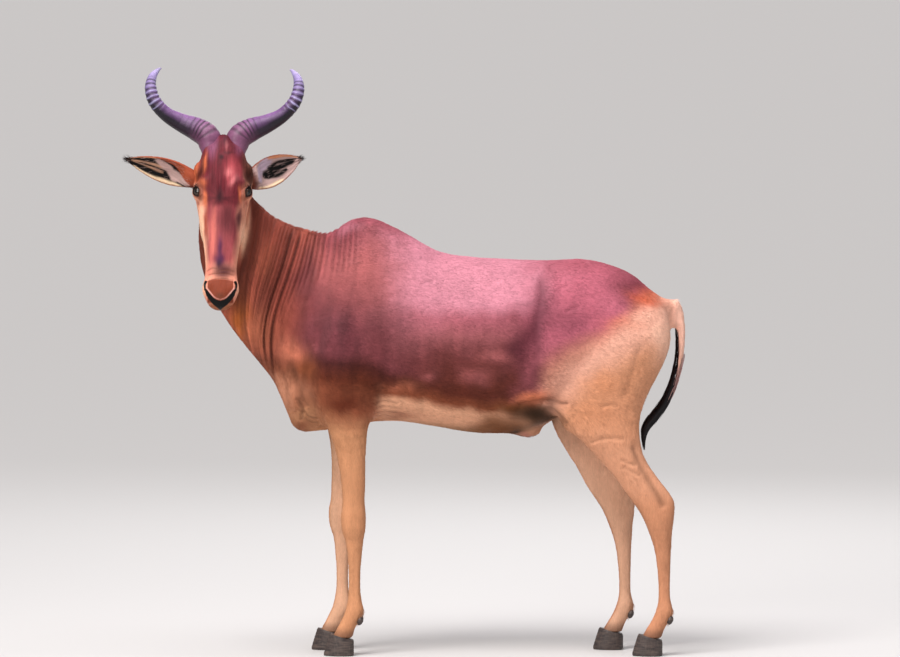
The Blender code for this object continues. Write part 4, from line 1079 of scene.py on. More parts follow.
MUZZLE_PAINT = (
    ("muzzle_rosy", 0.95, (0.008, 0.102), (0.031, 0.022), 1.7, 0.0),
    ("bridge_light", 0.6, (-0.033, 0.105), (0.01, 0.016)),
    ("pale_cheek", 0.7, (-0.05, 0.045), (0.007, 0.035), 1.2, 0.0),
    ("pale_cheek", 0.4, (0.05, 0.045), (0.007, 0.035), 1.2, 0.0),
)
SPOT = (-0.0085, 0.315)  # dark spot between the eyes, where the hair parts


def blended(colours, others, share):
    return colours + (others - colours) * share[:, None]


def mixed(colours, name, share):
    return blended(colours, PALETTE[name], np.clip(share, 0, 1))


def painted(colours, places, patches, share=1.0):
    for name, strength, middle, radii, *edge in patches:
        firmness, lean = edge or (1.0, 0.0)
        offset = places - middle
        across = (offset[:, 0] - lean * offset[:, 1]) / radii[0]
        far = across**2 + (offset[:, 1] / radii[1]) ** 2
        colours = mixed(colours, name, strength * np.exp(-(far**firmness)) * share)
    return colours


def wavered(places, points, size, amount, seed):
    """Places pushed about by noise, so that no patch has a drawn edge."""
    push = np.stack([noise(points, size, seed), noise(points, size, seed + 1)], 1) - 0.5
    return places + amount * push


def ladder(height, rungs):
    """Colours that change from rung to rung with the height."""
    levels = [level for level, _ in rungs][::-1]
    stops = np.array([PALETTE[name] for _, name in rungs])[::-1]
    return np.stack([np.interp(height, levels, stops[:, k]) for k in range(3)], 1)


def saddle_colours(points, normals, places, wave, shoulder):
    """Back, flanks, shoulders and croup, which change with the height, with a painted sheen along the back and
    painted shade low on the flanks, and the neck.
    """
    x, _, z = points.T
    height = z + wave
    colours = ladder(height, FLANK_RUNGS)
    foot = 0.05 * (noise(points, 0.12, 18) - 0.5) + 0.1 * (x + 0.3)
    colours = blended(colours, ladder(z + 0.6 * wave + foot, SHOULDER_RUNGS), shoulder)
    rump = step(0.12, 0.3, x + 1.5 * wave - 0.2 * (z - 0.95))
    colours = blended(colours, ladder(height, CROUP_RUNGS), rump)
    colours = painted(colours, places, BODY_PAINT)
    on_top = step(0.6, 0.95, normals[:, 2]) * step(0.95, 1.0, z)
    at_ends = np.maximum(step(0.1, 0.3, x), step(-0.1, -0.2, x))
    colours = mixed(colours, "spine", on_top * at_ends * 0.6)
    neck = step(-0.385, -0.475, x - 0.3 * (z - 1.0) + 0.5 * wave) * step(0.8, 0.86, z)
    colours = mixed(colours, "neck", neck)
    return painted(colours, places, NECK_PAINT, step(-0.36, -0.42, x))


def belly_colours(colours, normals, x, z, height):
    on_belly = step(-0.245, -0.205, x) * step(0.31, 0.22, x)
    above = height - np.interp(x, *np.array(BELLY_LINE).T)
    colours = mixed(colours, "belly_edge", step(0.05, 0.006, above) * on_belly * 0.9)
    colours = mixed(colours, "belly", step(0.018, -0.012, above) * on_belly)
    # darker where the belly faces down: painted shade underneath
    under = on_belly * step(0.75, 0.99, -normals[:, 2]) * step(0.66, 0.62, z)
    return mixed(colours, "shaded_underbelly", under * 0.85)


def rump_colours(colours, places, x, z, behind):
    """The pale hindquarters, behind a slanting line from the tail's root to the flank."""
    at_back = step(0.19, 0.25, x)
    blur = 0.022 + 0.03 * step(0.44, 0.28, x)
    colours = mixed(colours, "low_thigh", step(-0.023 - blur, 0.0, behind) * at_back * 0.5)
    colours = mixed(colours, "tan", step(-blur, 0.004 + blur, behind) * at_back)
    thigh = step(0.02, 0.12, behind) * at_back
    colours = mixed(colours, "thigh", thigh * step(0.92, 0.82, z))
    return painted(colours, places, HIND_PAINT, step(0.1, 0.16, x))


def leg_colours(colours, points, normals, height):
    x, y, z = points.T
    fore = step(0.68, 0.59, height) * step(-0.19, -0.23, x) * step(-0.47, -0.43, x)
    colours = mixed(colours, "fore_shank", fore * step(0.045, 0.07, abs(y)))
    hind = step(0.66, 0.56, height) * step(0.18, 0.22, x)
    colours = mixed(colours, "gaskin", hind)
    colours = mixed(colours, "shank", hind * step(0.48, 0.4, z))
    inner = step(0.2, 0.7, -normals[:, 1] * np.sign(y)) * step(0.72, 0.62, z) * step(0.035, 0.055, abs(y))
    return mixed(colours, "inner_leg", inner * 0.6)


def mottled(colours, points, shoulder, behind):
    """Darker and lighter flecks, strongest on the flanks and few on the tan hair."""
    x, _, z = points.T
    flecks = noise(points, (0.016, 0.04, 0.075), 12) - 0.5
    flecks = flecks + 0.5 * (noise(points, (0.007, 0.02, 0.035), 13) - 0.5)
    amount = 0.1 + 0.24 * step(1.0, 0.86, z) * step(0.66, 0.74, z) * step(0.3, 0.2, x)
    amount = amount + 0.16 * shoulder * step(0.7, 0.76, z)
    blotches = 0.16 * (noise(points, 0.028, 14) - 0.5) * step(0.66, 0.74, z) * step(0.0, 0.1, -behind)
    return colours * (1 + amount * flecks + blotches)[:, None]


def tail_colours(colours, points, normals):
    """Pale outside, with a black line down the inner side that widens towards the tuft."""
    z = points[:, 2]
    tail = tail_share(points)
    colours = mixed(colours, "tail", tail)
    edge = np.interp(z, (0.76, 0.8, 0.86, 0.92), (-0.3, 0.25, 0.62, 0.92))
    ragged = 0.25 * (noise(points, (0.003, 0.003, 0.02), 16) - 0.5)
    inside = step(edge - 0.08, edge + 0.08, -normals[:, 0] + ragged) * step(0.925, 0.905, z)
    return mixed(colours, "tail_line", tail * inside)


def body_colours(points, normals):
    x, _, z = points.T
    wave = 0.03 * (noise(points, 0.1, 2) - 0.5) + 0.02 * (noise(points, 0.03, 4) - 0.5)
    height = z + wave
    places = wavered(points[:, [0, 2]], points, 0.045, 0.03, 20)
    shoulder = step(-0.07, -0.24, x + 1.5 * wave + 0.25 * (z - 0.95))
    line_x, line_z, slope = RUMP_LINE
    behind = ((x - line_x) * slope + line_z - z + wave * 0.9) / math.hypot(1, slope)
    colours = saddle_colours(points, normals, places, wave, shoulder)
    colours = belly_colours(colours, normals, x, z, height)
    colours = rump_colours(colours, places, x, z, behind)
    colours = leg_colours(colours, points, normals, height)
    colours = painted(colours, places, BELLY_PAINT)
    colours = mixed(colours, "coronet", step(0.085, 0.058, z + 0.1 * wave) * 0.7)
    colours = mottled(colours, points, shoulder, behind)
    return tail_colours(colours, points, normals)


def between_curves(across, rise, low_curve, high_curve, soft):
    """1 where the height lies between two curves over the place across."""
    low, high = (np.interp(across, *np.array(curve).T) for curve in (low_curve, high_curve))
    return step(low - soft, low + soft, rise) * step(high + soft, high - soft, rise)


def nose_share(points):
    """1 on the bare black skin of the nose."""
    place = to_head(points)
    across, rise = abs(place[:, 1]), place[:, 0] + VIEW_RISE * place[:, 2]
    pad = between_curves(across, rise, NOSE_FOOT, NOSE_TOP, 0.0009) * step(0.046, 0.044, across)
    distance, share = line_distance(np.stack([across, rise], 1), NOSTRIL)
    comma = step(0.0036, 0.0018, distance - 0.0012 * (1 - share))
    return np.maximum(pad, comma) * step(0.09, 0.08, place[:, 0]) * in_head(points)


def skull_colours(place, facing, front, ahead):
    """The head's plain colours: cheeks, jaw, poll, bridge of the nose and forehead."""
    along, across, out = place.T
    rise = front[:, 1]
    wave = 0.01 * (noise(place, (0.05, 0.015, 0.02), 6) - 0.5)
    colours = np.tile(PALETTE["cheek"], (len(place), 1))
    colours = mixed(colours, "jaw", step(-0.06, -0.1, out))
    colours = mixed(colours, "nape_back", step(-0.1, -0.55, facing[:, 2]) * step(0.27, 0.34, along))
    width = np.interp(rise, (0.08, 0.15, 0.3, 0.36, 0.5), (0.03, 0.038, 0.048, 0.06, 0.06))
    middle = step(width + 0.01, width - 0.01, abs(across) + wave) * ahead
    beside = step(0.34, 0.365, rise) * step(0.05, 0.064, abs(across))
    colours = mixed(colours, "ear_back", beside * step(0.02, -0.02, across))
    colours = mixed(colours, "temple", beside * step(-0.02, 0.02, across) * 0.75)
    colours = mixed(colours, "bridge", middle * step(0.09, 0.14, rise))
    return mixed(colours, "forehead", middle * step(0.285, 0.335, rise + wave))


def face_marks(colours, place, facing, front, places, ahead):
    """Patches and streaks of the face, and the hair that turns round the dark spot between the eyes."""
    rise = front[:, 1]
    colours = painted(colours, places, CHEEK_PAINT, step(-0.95, -0.7, facing[:, 2]))
    colours = painted(colours, places, FACE_PAINT, ahead)
    streaks = noise(place, (0.06, 0.0035, 0.006), 7) - 0.5
    streaks = streaks + 0.6 * (noise(place, (0.03, 0.0018, 0.004), 8) - 0.5)
    strength = 0.3 + 0.25 * step(0.33, 0.37, rise)
    colours = colours * (1 + strength * streaks * step(0.1, 0.16, rise))[:, None]
    ray = front - SPOT
    spread = np.arctan2(ray[:, 0], ray[:, 1])
    rays = noise(np.stack([spread * 5.5, 0 * spread, 0 * spread], 1), 1.0, 15)
    near_spot = np.exp(-((np.linalg.norm(ray / (1.2, 1.0), axis=1) / 0.034) ** 2)) * ahead
    return mixed(colours, "whorl", 0.4 * near_spot * step(0.45, 0.75, rays))


def muzzle_colours(colours, points, place, front, places, ahead):
    along, across, out = place.T
    rise, wide = front[:, 1], abs(across)
    on_muzzle = step(0.1, 0.08, along)
    colours = mixed(colours, "muzzle", step(0.112, 0.096, rise))
    colours = painted(colours, places, MUZZLE_PAINT)
    # painted shade along the muzzle's creases, in the lips' colour; below, the lips' own colour
    for line, width, _ in FACE_CREASES[:MUZZLE_CREASES]:
        colours = mixed(colours, "lip_and_crease_shade", 0.55 * groove_along(front, line, width) * ahead)
    colours = mixed(colours, "chin", step(0.03, 0.005, rise + 0.3 * wide))
    colours = mixed(colours, "lip_and_crease_shade", step(-0.05, -0.062, out) * step(0.1, 0.06, along) * 0.7)
    bow = 5.0 * across**2
    patch = step(0.0365, 0.0335, wide) * step(0.08 - bow, 0.077 - bow, rise)
    patch = patch * step(0.006, 0.012, rise) * on_muzzle
    colours = mixed(colours, "nose_hair", patch)
    low = np.exp(-(((front - (0, 0.03)) / (0.012, 0.01)) ** 2).sum(1))
    colours = mixed(colours, "nose_hair_low", 0.75 * patch * low)
    # a pale line along the top edge of the nose pad: a painted highlight
    top = np.interp(wide, *np.array(NOSE_TOP).T)
    thickness = 0.0018 + 0.0014 * step(0.01, 0.03, wide)
    rim = np.exp(-(((rise - top - 0.0034) / thickness) ** 2)) * step(0.04, 0.036, wide) * on_muzzle
    colours = mixed(colours, "nose_rim_highlight", rim * (0.35 + 0.6 * step(0.006, 0.03, wide)))
    return mixed(colours, "nose", nose_share(points))


def lid_colours(colours, place):
    long, short, outward, distance = eye_place(place)
    measure = opening_measure(long, short)
    around = step(0.034, 0.025, distance) * step(0.0, 0.3, outward)
    colours = mixed(colours, "lid_skin", 0.8 * step(5.5, 2.2, measure) * around)
    return mixed(colours, "lid", step(2.1, 1.2, measure) * around)


def head_colours(points, normals):
    place, facing = to_head(points), normals @ HEAD_AXES.T
    front = front_view(place)
    ahead = step(-0.15, 0.3, facing[:, 2])
    places = wavered(front, place, 0.02, 0.006, 30)
    colours = skull_colours(place, facing, front, ahead)
    colours = face_marks(colours, place, facing, front, places, ahead)
    colours = muzzle_colours(colours, points, place, front, places, ahead)
    return lid_colours(colours, place)


# Strokes inside the ears, by the side of the head: colour, share of the length and height across at each
# point, half width
EAR_STROKES = {
    RIGHT: (
        ("ear_dark", ((0.42, -0.45), (0.6, -0.15), (0.8, 0.05), (0.96, 0.1)), 0.125),
        ("ear_streak", ((0.5, -0.05), (0.7, 0.12), (0.92, 0.2)), 0.018),
        ("ear_streak", ((0.52, -0.42), (0.7, -0.28), (0.9, -0.12)), 0.016),
        ("ear_hair", ((0.58, 0.55), (0.46, 0.05), (0.34, -0.6)), 0.05),
        ("ear_hair", ((0.34, -0.35), (0.18, -0.3)), 0.075),
        ("ear_pale", ((0.22, -0.97), (0.5, -0.97), (0.88, -0.97)), 0.013),
        ("ear_rim", ((0.6, 0.98), (0.8, 0.98), (0.97, 0.98)), 0.014),
    ),
    LEFT: (
        ("ear_hair", ((0.24, 0.1), (0.6, 0.1), (0.92, 0.1)), 0.3),
        ("ear_lobe", ((0.22, -0.1), (0.3, 0.45), (0.46, 0.8)), 0.085),
        ("ear_dark", ((0.4, -0.12), (0.55, -0.08), (0.72, 0.02), (0.84, 0.05)), 0.05),
        ("ear_dark", ((0.5, 0.25), (0.66, 0.46), (0.9, 0.42)), 0.03),
        ("ear_dark", ((0.44, -0.35), (0.56, -0.5), (0.72, -0.5)), 0.032),
        ("ear_pale", ((0.16, -0.97), (0.36, -0.97), (0.6, -0.97)), 0.014),
        ("ear_rim", ((0.5, 0.97), (0.8, 0.97), (1.0, 0.6), (0.98, 0.0)), 0.022),
    ),
}
EAR_ASPECT = 0.2  # half width over length, for strokes of even width


def ear_colours(marks, sign):
    share, across, inside = marks.T
    high = across * sign
    colours = np.tile(PALETTE["ear_back"], (len(marks), 1))
    colours = mixed(colours, "ear_tip", step(0.78, 0.97, share) * 0.9)
    cup = np.tile(PALETTE["ear_dark" if sign == RIGHT else "ear_hair"], (len(marks), 1))
    places = np.stack([share, high * EAR_ASPECT], 1)
    ragged = 0.02 * (noise(np.stack([share * 8, high * 9, 0 * share], 1), 1.0, 40) - 0.5)
    for name, line, width in EAR_STROKES[sign]:
        distance, _ = line_distance(places, [(a, b * EAR_ASPECT) for a, b in line])
        cup = mixed(cup, name, step(width + 0.016, width - 0.01, distance + ragged))
    hairs = noise(np.stack([share * 5, high * 16, 0 * share], 1), 1.0, 41)
    cup = cup * (1 + 0.5 * (hairs - 0.5))[:, None]
    if sign == RIGHT:
        turned = step(-0.06, 0.1, high + 0.4 - 2.35 * (share - 0.04))
        cup = mixed(cup, "ear_back", turned * step(0.68, 0.58, share))
    colours = colours + (cup - colours) * (inside * step(0.03, 0.16, share))[:, None]
    tip = step(0.93, 0.99, share) * inside
    colours = mixed(colours, "ear_tip", tip)
    root_shade = 0.75 if sign == LEFT else 0.2
    return mixed(colours, "temple", root_shade * step(0.2, 0.06, share))


def skin_colours(points, normals, crease_shade):
    head = in_head(points)[:, None]
    across, down = fold_place(points)
    colours = body_colours(points, normals) * (1 - head) + head_colours(points, normals) * head
    on_fold = np.stack([across, down, 0 * down], 1)
    streak = noise(on_fold * (20, 1.8, 0), 1.0, 8) - 0.5 + 0.6 * (noise(on_fold * (46, 3.0, 0), 1.0, 9) - 0.5)
    zone = fold_zone(points, normals)
    fade = step(1.15, 0.7, across + 0.5 * down)
    colours = colours * (1 + 0.85 * streak * zone * (0.35 + 0.65 * fade))[:, None]
    behind_jaw = step(0.07, -0.05, across) * step(0.9, 1.0, points[:, 2]) * zone
    colours = mixed(colours, "jaw_shadow", 0.75 * behind_jaw)
    # painted shade in the neck's creases, darkest where they are deepest
    colours = mixed(colours, "fold", 0.82 * np.clip(fold_groove(points, normals), 0, 1) ** 1.2)
    return colours * (1 - 0.42 * crease_shade)[:, None]


# ---------------------------------------------------------------- materials


class Nodes:
    """A material's nodes, made and linked in one call each."""

    def __init__(self, name, roughness, **sockets):
        self.material = bpy.data.materials.new(name)
        self.material.use_nodes = True
        self.tree = self.material.node_tree
        self.shader = self.tree.nodes["Principled BSDF"]
        self.shader.inputs["Roughness"].default_value = roughness
        for socket, value in sockets.items():
            self.shader.inputs[socket.replace("_", " ")].default_value = value

    def add(self, kind, inputs=None, **settings):
        node = self.tree.nodes.new(kind)
        for key, value in settings.items():
            setattr(node, key, value)
        for socket, value in (inputs or {}).items():
            self.put(node.inputs[socket], value)
        return node

    def put(self, socket, value):
        if isinstance(value, bpy.types.NodeSocket):
            self.tree.links.new(value, socket)
        else:
            socket.default_value = value

    def attribute(self, name, output="Fac"):
        return self.add("ShaderNodeAttribute", attribute_name=name).outputs[output]

    def math(self, operation, *values):
        node = self.add("ShaderNodeMath", operation=operation)
        for socket, value in zip(node.inputs, values):
            self.put(socket, value)
        return node.outputs[0]

    def length(self, first, second):
        squares = [self.math("POWER", value, 2.0) for value in (first, second)]
        return self.math("SQRT", self.math("ADD", *squares))

    def mix_colour(self, share, first, second, blend="MIX"):
        node = self.add("ShaderNodeMix", data_type="RGBA", blend_type=blend)
        self.put(node.inputs["Factor"], share)
        self.put(node.inputs[6], first)
        self.put(node.inputs[7], second)
        return node.outputs[2]

    def grey(self, value):
        return self.add("ShaderNodeCombineXYZ", {"X": value, "Y": value, "Z": value}).outputs[0]

    def noise(self, vector, scale, detail=2.0, roughness=0.5):
        inputs = {"Vector": vector, "Scale": scale, "Detail": detail, "Roughness": roughness}
        return self.add("ShaderNodeTexNoise", inputs).outputs["Fac"]

    def mapping(self, vector, scale):
        return self.add("ShaderNodeMapping", {"Vector": vector, "Scale": scale}).outputs[0]

    def ramp(self, value, low, high, to_low=0.0, to_high=1.0):
        inputs = {"Value": value, 1: low, 2: high, 3: to_low, 4: to_high}
        return self.add("ShaderNodeMapRange", inputs, clamp=True).outputs[0]

    def bump(self, height, strength, distance):
        inputs = {"Height": height, "Strength": strength, "Distance": distance}
        self.put(self.shader.inputs["Normal"], self.add("ShaderNodeBump", inputs).outputs[0])

    def shaded(self, colour, shade):
        return self.mix_colour(1.0, colour, self.grey(shade), "MULTIPLY")

    def place(self):
        return self.add("ShaderNodeTexCoord").outputs["Object"]

    def paint(self, colour):
        self.put(self.shader.inputs["Base Color"], colour)

    def roughen(self, roughness):
        self.put(self.shader.inputs["Roughness"], roughness)


def fur_streaks(nodes, scale):
    """Noise drawn out along the lie of the coat: along the body, down the legs, the face and the neck."""

    def drawn_out(place, stretch):
        return nodes.noise(nodes.mapping(place, stretch), scale, 3.0, 0.6)

    place = nodes.place()
    total = drawn_out(place, (0.16, 1.0, 1.0))
    for name, where, stretch in (
        ("leg_share", place, (1.0, 1.0, 0.16)),
        ("fold_share", nodes.attribute("fold_place", "Vector"), (1.0, 0.16, 1.0)),
        ("head_share", nodes.attribute("face_place", "Vector"), (0.18, 1.0, 1.0)),
    ):
        share = nodes.attribute(name)
        kept = nodes.math("MULTIPLY", total, nodes.math("SUBTRACT", 1.0, share))
        total = nodes.math("ADD", kept, nodes.math("MULTIPLY", drawn_out(where, stretch), share))
    return total


def skin_material():
    nodes = Nodes("short_coat", 0.58, Specular_IOR_Level=0.15)
    fine, coarse = fur_streaks(nodes, 420.0), fur_streaks(nodes, 90.0)
    shades = nodes.ramp(fine, 0.3, 0.7, 0.9, 1.08), nodes.ramp(coarse, 0.3, 0.7, -0.06, 0.06)
    shade = nodes.math("ADD", *shades)
    nodes.paint(nodes.shaded(nodes.attribute("coat_colour", "Color"), shade))
    wet = nodes.attribute("bare_share")
    rough = nodes.math("SUBTRACT", nodes.ramp(fine, 0.3, 0.7, 0.5, 0.66), nodes.math("MULTIPLY", wet, 0.25))
    nodes.roughen(rough)
    height = nodes.math("ADD", nodes.math("MULTIPLY", fine, 0.6), coarse)
    nodes.bump(height, 0.35, 0.0012)
    return nodes.material


def tuft_material():
    nodes = Nodes("coat_tufts", 0.55, Specular_IOR_Level=0.15)
    place = nodes.place()
    shade = nodes.ramp(nodes.noise(place, 160.0), 0.3, 0.7, 0.93, 1.07)
    nodes.paint(nodes.shaded(nodes.attribute("coat_colour", "Color"), shade))
    return nodes.material


# ---------------------------------------------------------------- the skin, with its marks


def skin_attributes(mesh, colours, ear_marks=None):
    """What the material and the coat read from each point of the skin."""
    points, normals = points_of(mesh) - SHIFT, normals_of(mesh)
    count = len(points)
    if ear_marks is None:
        head = in_head(points)
        across, down = fold_place(points)
        bare = nose_share(points)
        leg = step(0.72, 0.6, points[:, 2]) * step(0.03, 0.06, abs(points[:, 1])) * (1 - head)
        fold = fold_zone(points, normals) * step(1.2, 0.9, across)
        face, ear_inside = to_head(points), np.zeros(count)
    else:
        head, (leg, fold, bare) = np.ones(count), np.zeros((3, count))
        across, down = np.zeros((2, count))
        face, ear_inside = ear_marks * (EAR_LENGTH, 0.04, 0.1), ear_marks[:, 2]
    folds = np.column_stack([across * 0.16, down * 0.45, np.zeros(count)])
    colour_attribute(mesh, colours)
    float_attribute(mesh, "face_place", face, "FLOAT_VECTOR")
    float_attribute(mesh, "fold_place", folds, "FLOAT_VECTOR")
    shares = {
        "head_share": head,
        "leg_share": leg,
        "fold_share": fold,
        "bare_share": bare,
        "ear_inside": ear_inside,
    }
    for name, values in shares.items():
        float_attribute(mesh, name, values)


def whole_skin():
    mesh = rough_skin()
    crease_shade = carve_body(mesh)
    carve_head(mesh)
    colours = skin_colours(points_of(mesh), normals_of(mesh), crease_shade)
    set_points(mesh, points_of(mesh) + SHIFT)
    skin_attributes(mesh, colours)
    skin = linked("skin", mesh)
    extra = []
    for sign, side in SIDES:
        points, faces, marks = ear_shape(sign)
        ear = new_object(f"ear_skin_{side}", (points, faces))
        skin_attributes(ear.data, ear_colours(marks, sign), marks)
        lid = new_object(f"lid_{side}", lid_shape(sign))
        skin_attributes(lid.data, np.tile(PALETTE["lid"], (len(lid.data.vertices), 1)))
        extra += [ear, lid]
    parts = [skin, *extra]
    for obj in parts:
        obj.data.shade_smooth()
    chosen = {"selected_objects": parts, "selected_editable_objects": parts}
    with bpy.context.temp_override(active_object=skin, object=skin, **chosen):
        bpy.ops.object.join()
    skin.data.materials.clear()
    skin.data.materials.append(skin_material())
    return skin


# ---------------------------------------------------------------- eyes, horns, hooves


EYE_SIDES, EYE_ROWS = 56, 44
CORNEA_RISE, CORNEA_REACH = 0.035, 0.42


def finished(piece, name, make_material):
    """Shades a piece smooth and gives it its material, which the first such piece makes."""
    piece.data.shade_smooth()
    piece.data.materials.append(bpy.data.materials.get(name) or make_material())
    return piece


def eye_piece(sign, side):
    """A dark, wet ball with a long level pupil, in the lids' opening."""
    axes = np.array((EYE_LONG, EYE_SHORT, EYE_AXIS))
    rings, looks = [], []
    for angle in np.linspace(0.02, math.pi - 0.02, EYE_ROWS):
        bulge = 1 + CORNEA_RISE * math.exp(-((angle / CORNEA_REACH) ** 2))
        ring = oval((0, 0, 0), axes[0] * math.sin(angle), axes[1] * math.sin(angle), sides=EYE_SIDES)
        ring = ring + axes[2] * math.cos(angle)
        looks.append(ring @ axes.T)
        rings.append(np.array(EYE_CENTRE) + ring * EYE_BALL * bulge)
    points, faces = loft(rings)
    looks = np.vstack(looks + [[[0, 0, 1.0]], [[0, 0, -1.0]]])
    points = on_head(points * (1, -sign, 1))
    ball = new_object(f"eyeball_{side}", (points, faces if sign == LEFT else turned_over(faces)))
    float_attribute(ball.data, "look", looks, "FLOAT_VECTOR")
    return finished(ball, "eye_gloss", eye_material)


def eye_material():
    nodes = Nodes("eye_gloss", 0.1, Coat_Weight=0.5, Coat_Roughness=0.02, IOR=1.34)
    look = nodes.add("ShaderNodeSeparateXYZ", {"Vector": nodes.attribute("look", "Vector")}).outputs
    pupil = nodes.length(look[0], nodes.math("MULTIPLY", look[1], 2.1))
    from_middle = nodes.length(look[0], look[1])
    threads = nodes.noise(nodes.attribute("look", "Vector"), 26.0, 4.0, 0.7)
    iris = nodes.mix_colour(threads, (0.02, 0.009, 0.005, 1), (0.05, 0.024, 0.012, 1))
    iris = nodes.mix_colour(nodes.ramp(from_middle, 0.52, 0.66), iris, (0.012, 0.006, 0.005, 1))
    colour = nodes.mix_colour(nodes.ramp(pupil, 0.34, 0.44, 1.0, 0.0), iris, (0.004, 0.003, 0.004, 1))
    nodes.paint(colour)
    return nodes.material


HORN_SIDES, HORN_ROWS = 40, 36
# Share of the length and strength: grooves over the root, darkened with painted shade, and knobs with pale
# edges below the tip
HORN_GROOVES = ((0.148, 0.6), (0.18, 0.8), (0.214, 0.9), (0.25, 0.8), (0.29, 0.6), (0.338, 0.3), (0.39, 0.2))
HORN_KNOBS = (
    (0.545, 0.5), (0.577, 0.8), (0.611, 1.0), (0.648, 1.0), (0.686, 0.95), (0.724, 0.8), (0.76, 0.55),
    (0.794, 0.3),
)
GROOVE_WIDTH, KNOB_WIDTH = 0.0075, 0.0105
GROOVE_DEPTH, KNOB_HEIGHT = 0.045, 0.11  # of the radius


def bumps(place, width, stations):
    """A sum of soft bumps of one width along a line."""
    return sum(strength * np.exp(-(((place - at) / width) ** 2)) for at, strength in stations)


def horn_shape(sign):
    """A horn, with for each point: share along it, from 0 in a groove over 0.5 to 1 on a knob, and how far it
    faces up, which puts a painted highlight on its top and painted shade underneath."""
    rows = catmull_rom([(*head_point(a, -sign * c, o), r) for a, c, o, r in HORN], HORN_ROWS)
    lengths = np.concatenate([[0], np.cumsum(np.linalg.norm(np.diff(rows[:, :3], axis=0), axis=1))])
    shares = lengths / lengths[-1]
    rings, marks = [], []
    front_way = HEAD_AXES[2]
    for row, share, (_, up, side) in zip(rows, shares, sweep_frames(rows[:, :3])):
        angle = np.linspace(0, 2 * math.pi, HORN_SIDES, endpoint=False)
        ways = np.outer(np.cos(angle), up) + np.outer(np.sin(angle), side)
        frontness, upness = ways @ front_way, ways[:, 2]
        wander = 0.01 * (noise(ways * 1.1 + share * 7, 1.0, sign + 2) - 0.5) + 0.006 * frontness
        place = share + wander
        knob = bumps(place, KNOB_WIDTH, HORN_KNOBS)
        groove = bumps(place, GROOVE_WIDTH, HORN_GROOVES)
        groove = groove * step(-0.35, 0.45, upness + 0.5 * frontness)
        knobbed = step(0.5, 0.58, place) * step(0.84, 0.76, place)
        around = np.column_stack([ways[:, 1:], np.full(len(ways), share * 14)])
        uneven = 0.02 * (noise(around * 1.6, 1.0, 9) - 0.5)
        swell = 1 + KNOB_HEIGHT * (knob - 0.45 * knobbed) * (0.7 + 0.3 * frontness)
        swell = swell - GROOVE_DEPTH * groove + uneven
        rings.append(row[:3] + ways * (row[3] * swell)[:, None])
        level = 0.5 + 0.5 * knob - 0.5 * knobbed * np.clip(1 - 1.6 * knob, 0, 1) - 0.5 * groove
        marks.append(np.column_stack([place, np.clip(level, 0, 1), upness]))
    points, faces = loft(rings)
    marks = np.vstack(marks + [[[0, 0.5, 0]], [[1, 0.5, 0]]])
    return points, faces, marks


def horn_piece(sign, side):
    points, faces, marks = horn_shape(sign)
    horn = new_object(f"ringed_horn_{side}", (points, faces))
    float_attribute(horn.data, "horn_place", marks, "FLOAT_VECTOR")
    return finished(horn, "horn_sheath", horn_material)


def colour_ramp(nodes, value, stops):
    node = nodes.add("ShaderNodeValToRGB", {"Fac": value})
    elements = node.color_ramp.elements
    while len(elements) < len(stops):
        elements.new(0.5)
    for element, (place, colour) in zip(elements, stops):
        element.position = place
        element.color = opaque(*colour)
    return node.outputs["Color"]


# Colours along the horn for its underside and its top, mixed by how far each point faces up: the dark underside
# is painted shade and the paler top a painted highlight, over the horn's own purple.
HORN_SHADED_UNDERSIDE = (
    (0.0, (104, 60, 84)), (0.14, (92, 50, 78)), (0.3, (34, 17, 38)), (0.5, (15, 8, 23)),
    (0.64, (22, 13, 36)), (0.8, (84, 72, 122)), (0.9, (136, 124, 178)), (1.0, (128, 116, 158)),
)
HORN_LIT_TOPSIDE = (
    (0.0, (122, 74, 102)), (0.14, (130, 82, 112)), (0.3, (122, 82, 130)), (0.5, (126, 88, 140)),
    (0.64, (126, 96, 144)), (0.8, (146, 130, 176)), (0.9, (164, 150, 194)), (1.0, (156, 144, 180)),
)


def horn_material():
    nodes = Nodes("horn_sheath", 0.42, Specular_IOR_Level=0.35)
    marks = nodes.attribute("horn_place", "Vector")
    share, level, up = nodes.add("ShaderNodeSeparateXYZ", {"Vector": marks}).outputs
    place = nodes.place()
    under, upper = (colour_ramp(nodes, share, stops) for stops in (HORN_SHADED_UNDERSIDE, HORN_LIT_TOPSIDE))
    # painted highlight on the horn's top and painted shade on its underside
    colour = nodes.mix_colour(nodes.ramp(up, -0.15, 0.9), under, upper)
    # painted shade in the grooves and between the knobs
    colour = nodes.mix_colour(nodes.ramp(level, 0.45, 0.05, 0.0, 0.9), colour, opaque(26, 14, 28))
    patchy = nodes.ramp(nodes.noise(place, 60.0, 3.0), 0.3, 0.6, 0.25, 1.0)
    # paler in patches on the knobs' tops
    pale_knob_tops = nodes.math("MULTIPLY", nodes.ramp(level, 0.78, 1.0), patchy)
    colour = nodes.mix_colour(nodes.math("MULTIPLY", pale_knob_tops, 0.8), colour, opaque(176, 170, 212))
    blotch = nodes.ramp(nodes.noise(place, 45.0, 4.0, 0.65), 0.3, 0.7, 0.76, 1.18)
    nodes.paint(nodes.shaded(colour, blotch))
    scratches = nodes.noise(nodes.mapping(place, (1.0, 1.0, 0.3)), 480.0, 3.0, 0.6)
    nodes.roughen(nodes.ramp(scratches, 0.3, 0.7, 0.34, 0.56))
    nodes.bump(scratches, 0.3, 0.0008)
    return nodes.material


CLAW_ROWS = 26
GROWTH_RINGS, RING_DEPTH = 7, 0.012
CLAW_FOOT_ROUNDING, CLAW_TOP_ROUNDING = 0.1, 0.06
CORONET_OVERLAP = 0.002  # how far the horn reaches into the hair


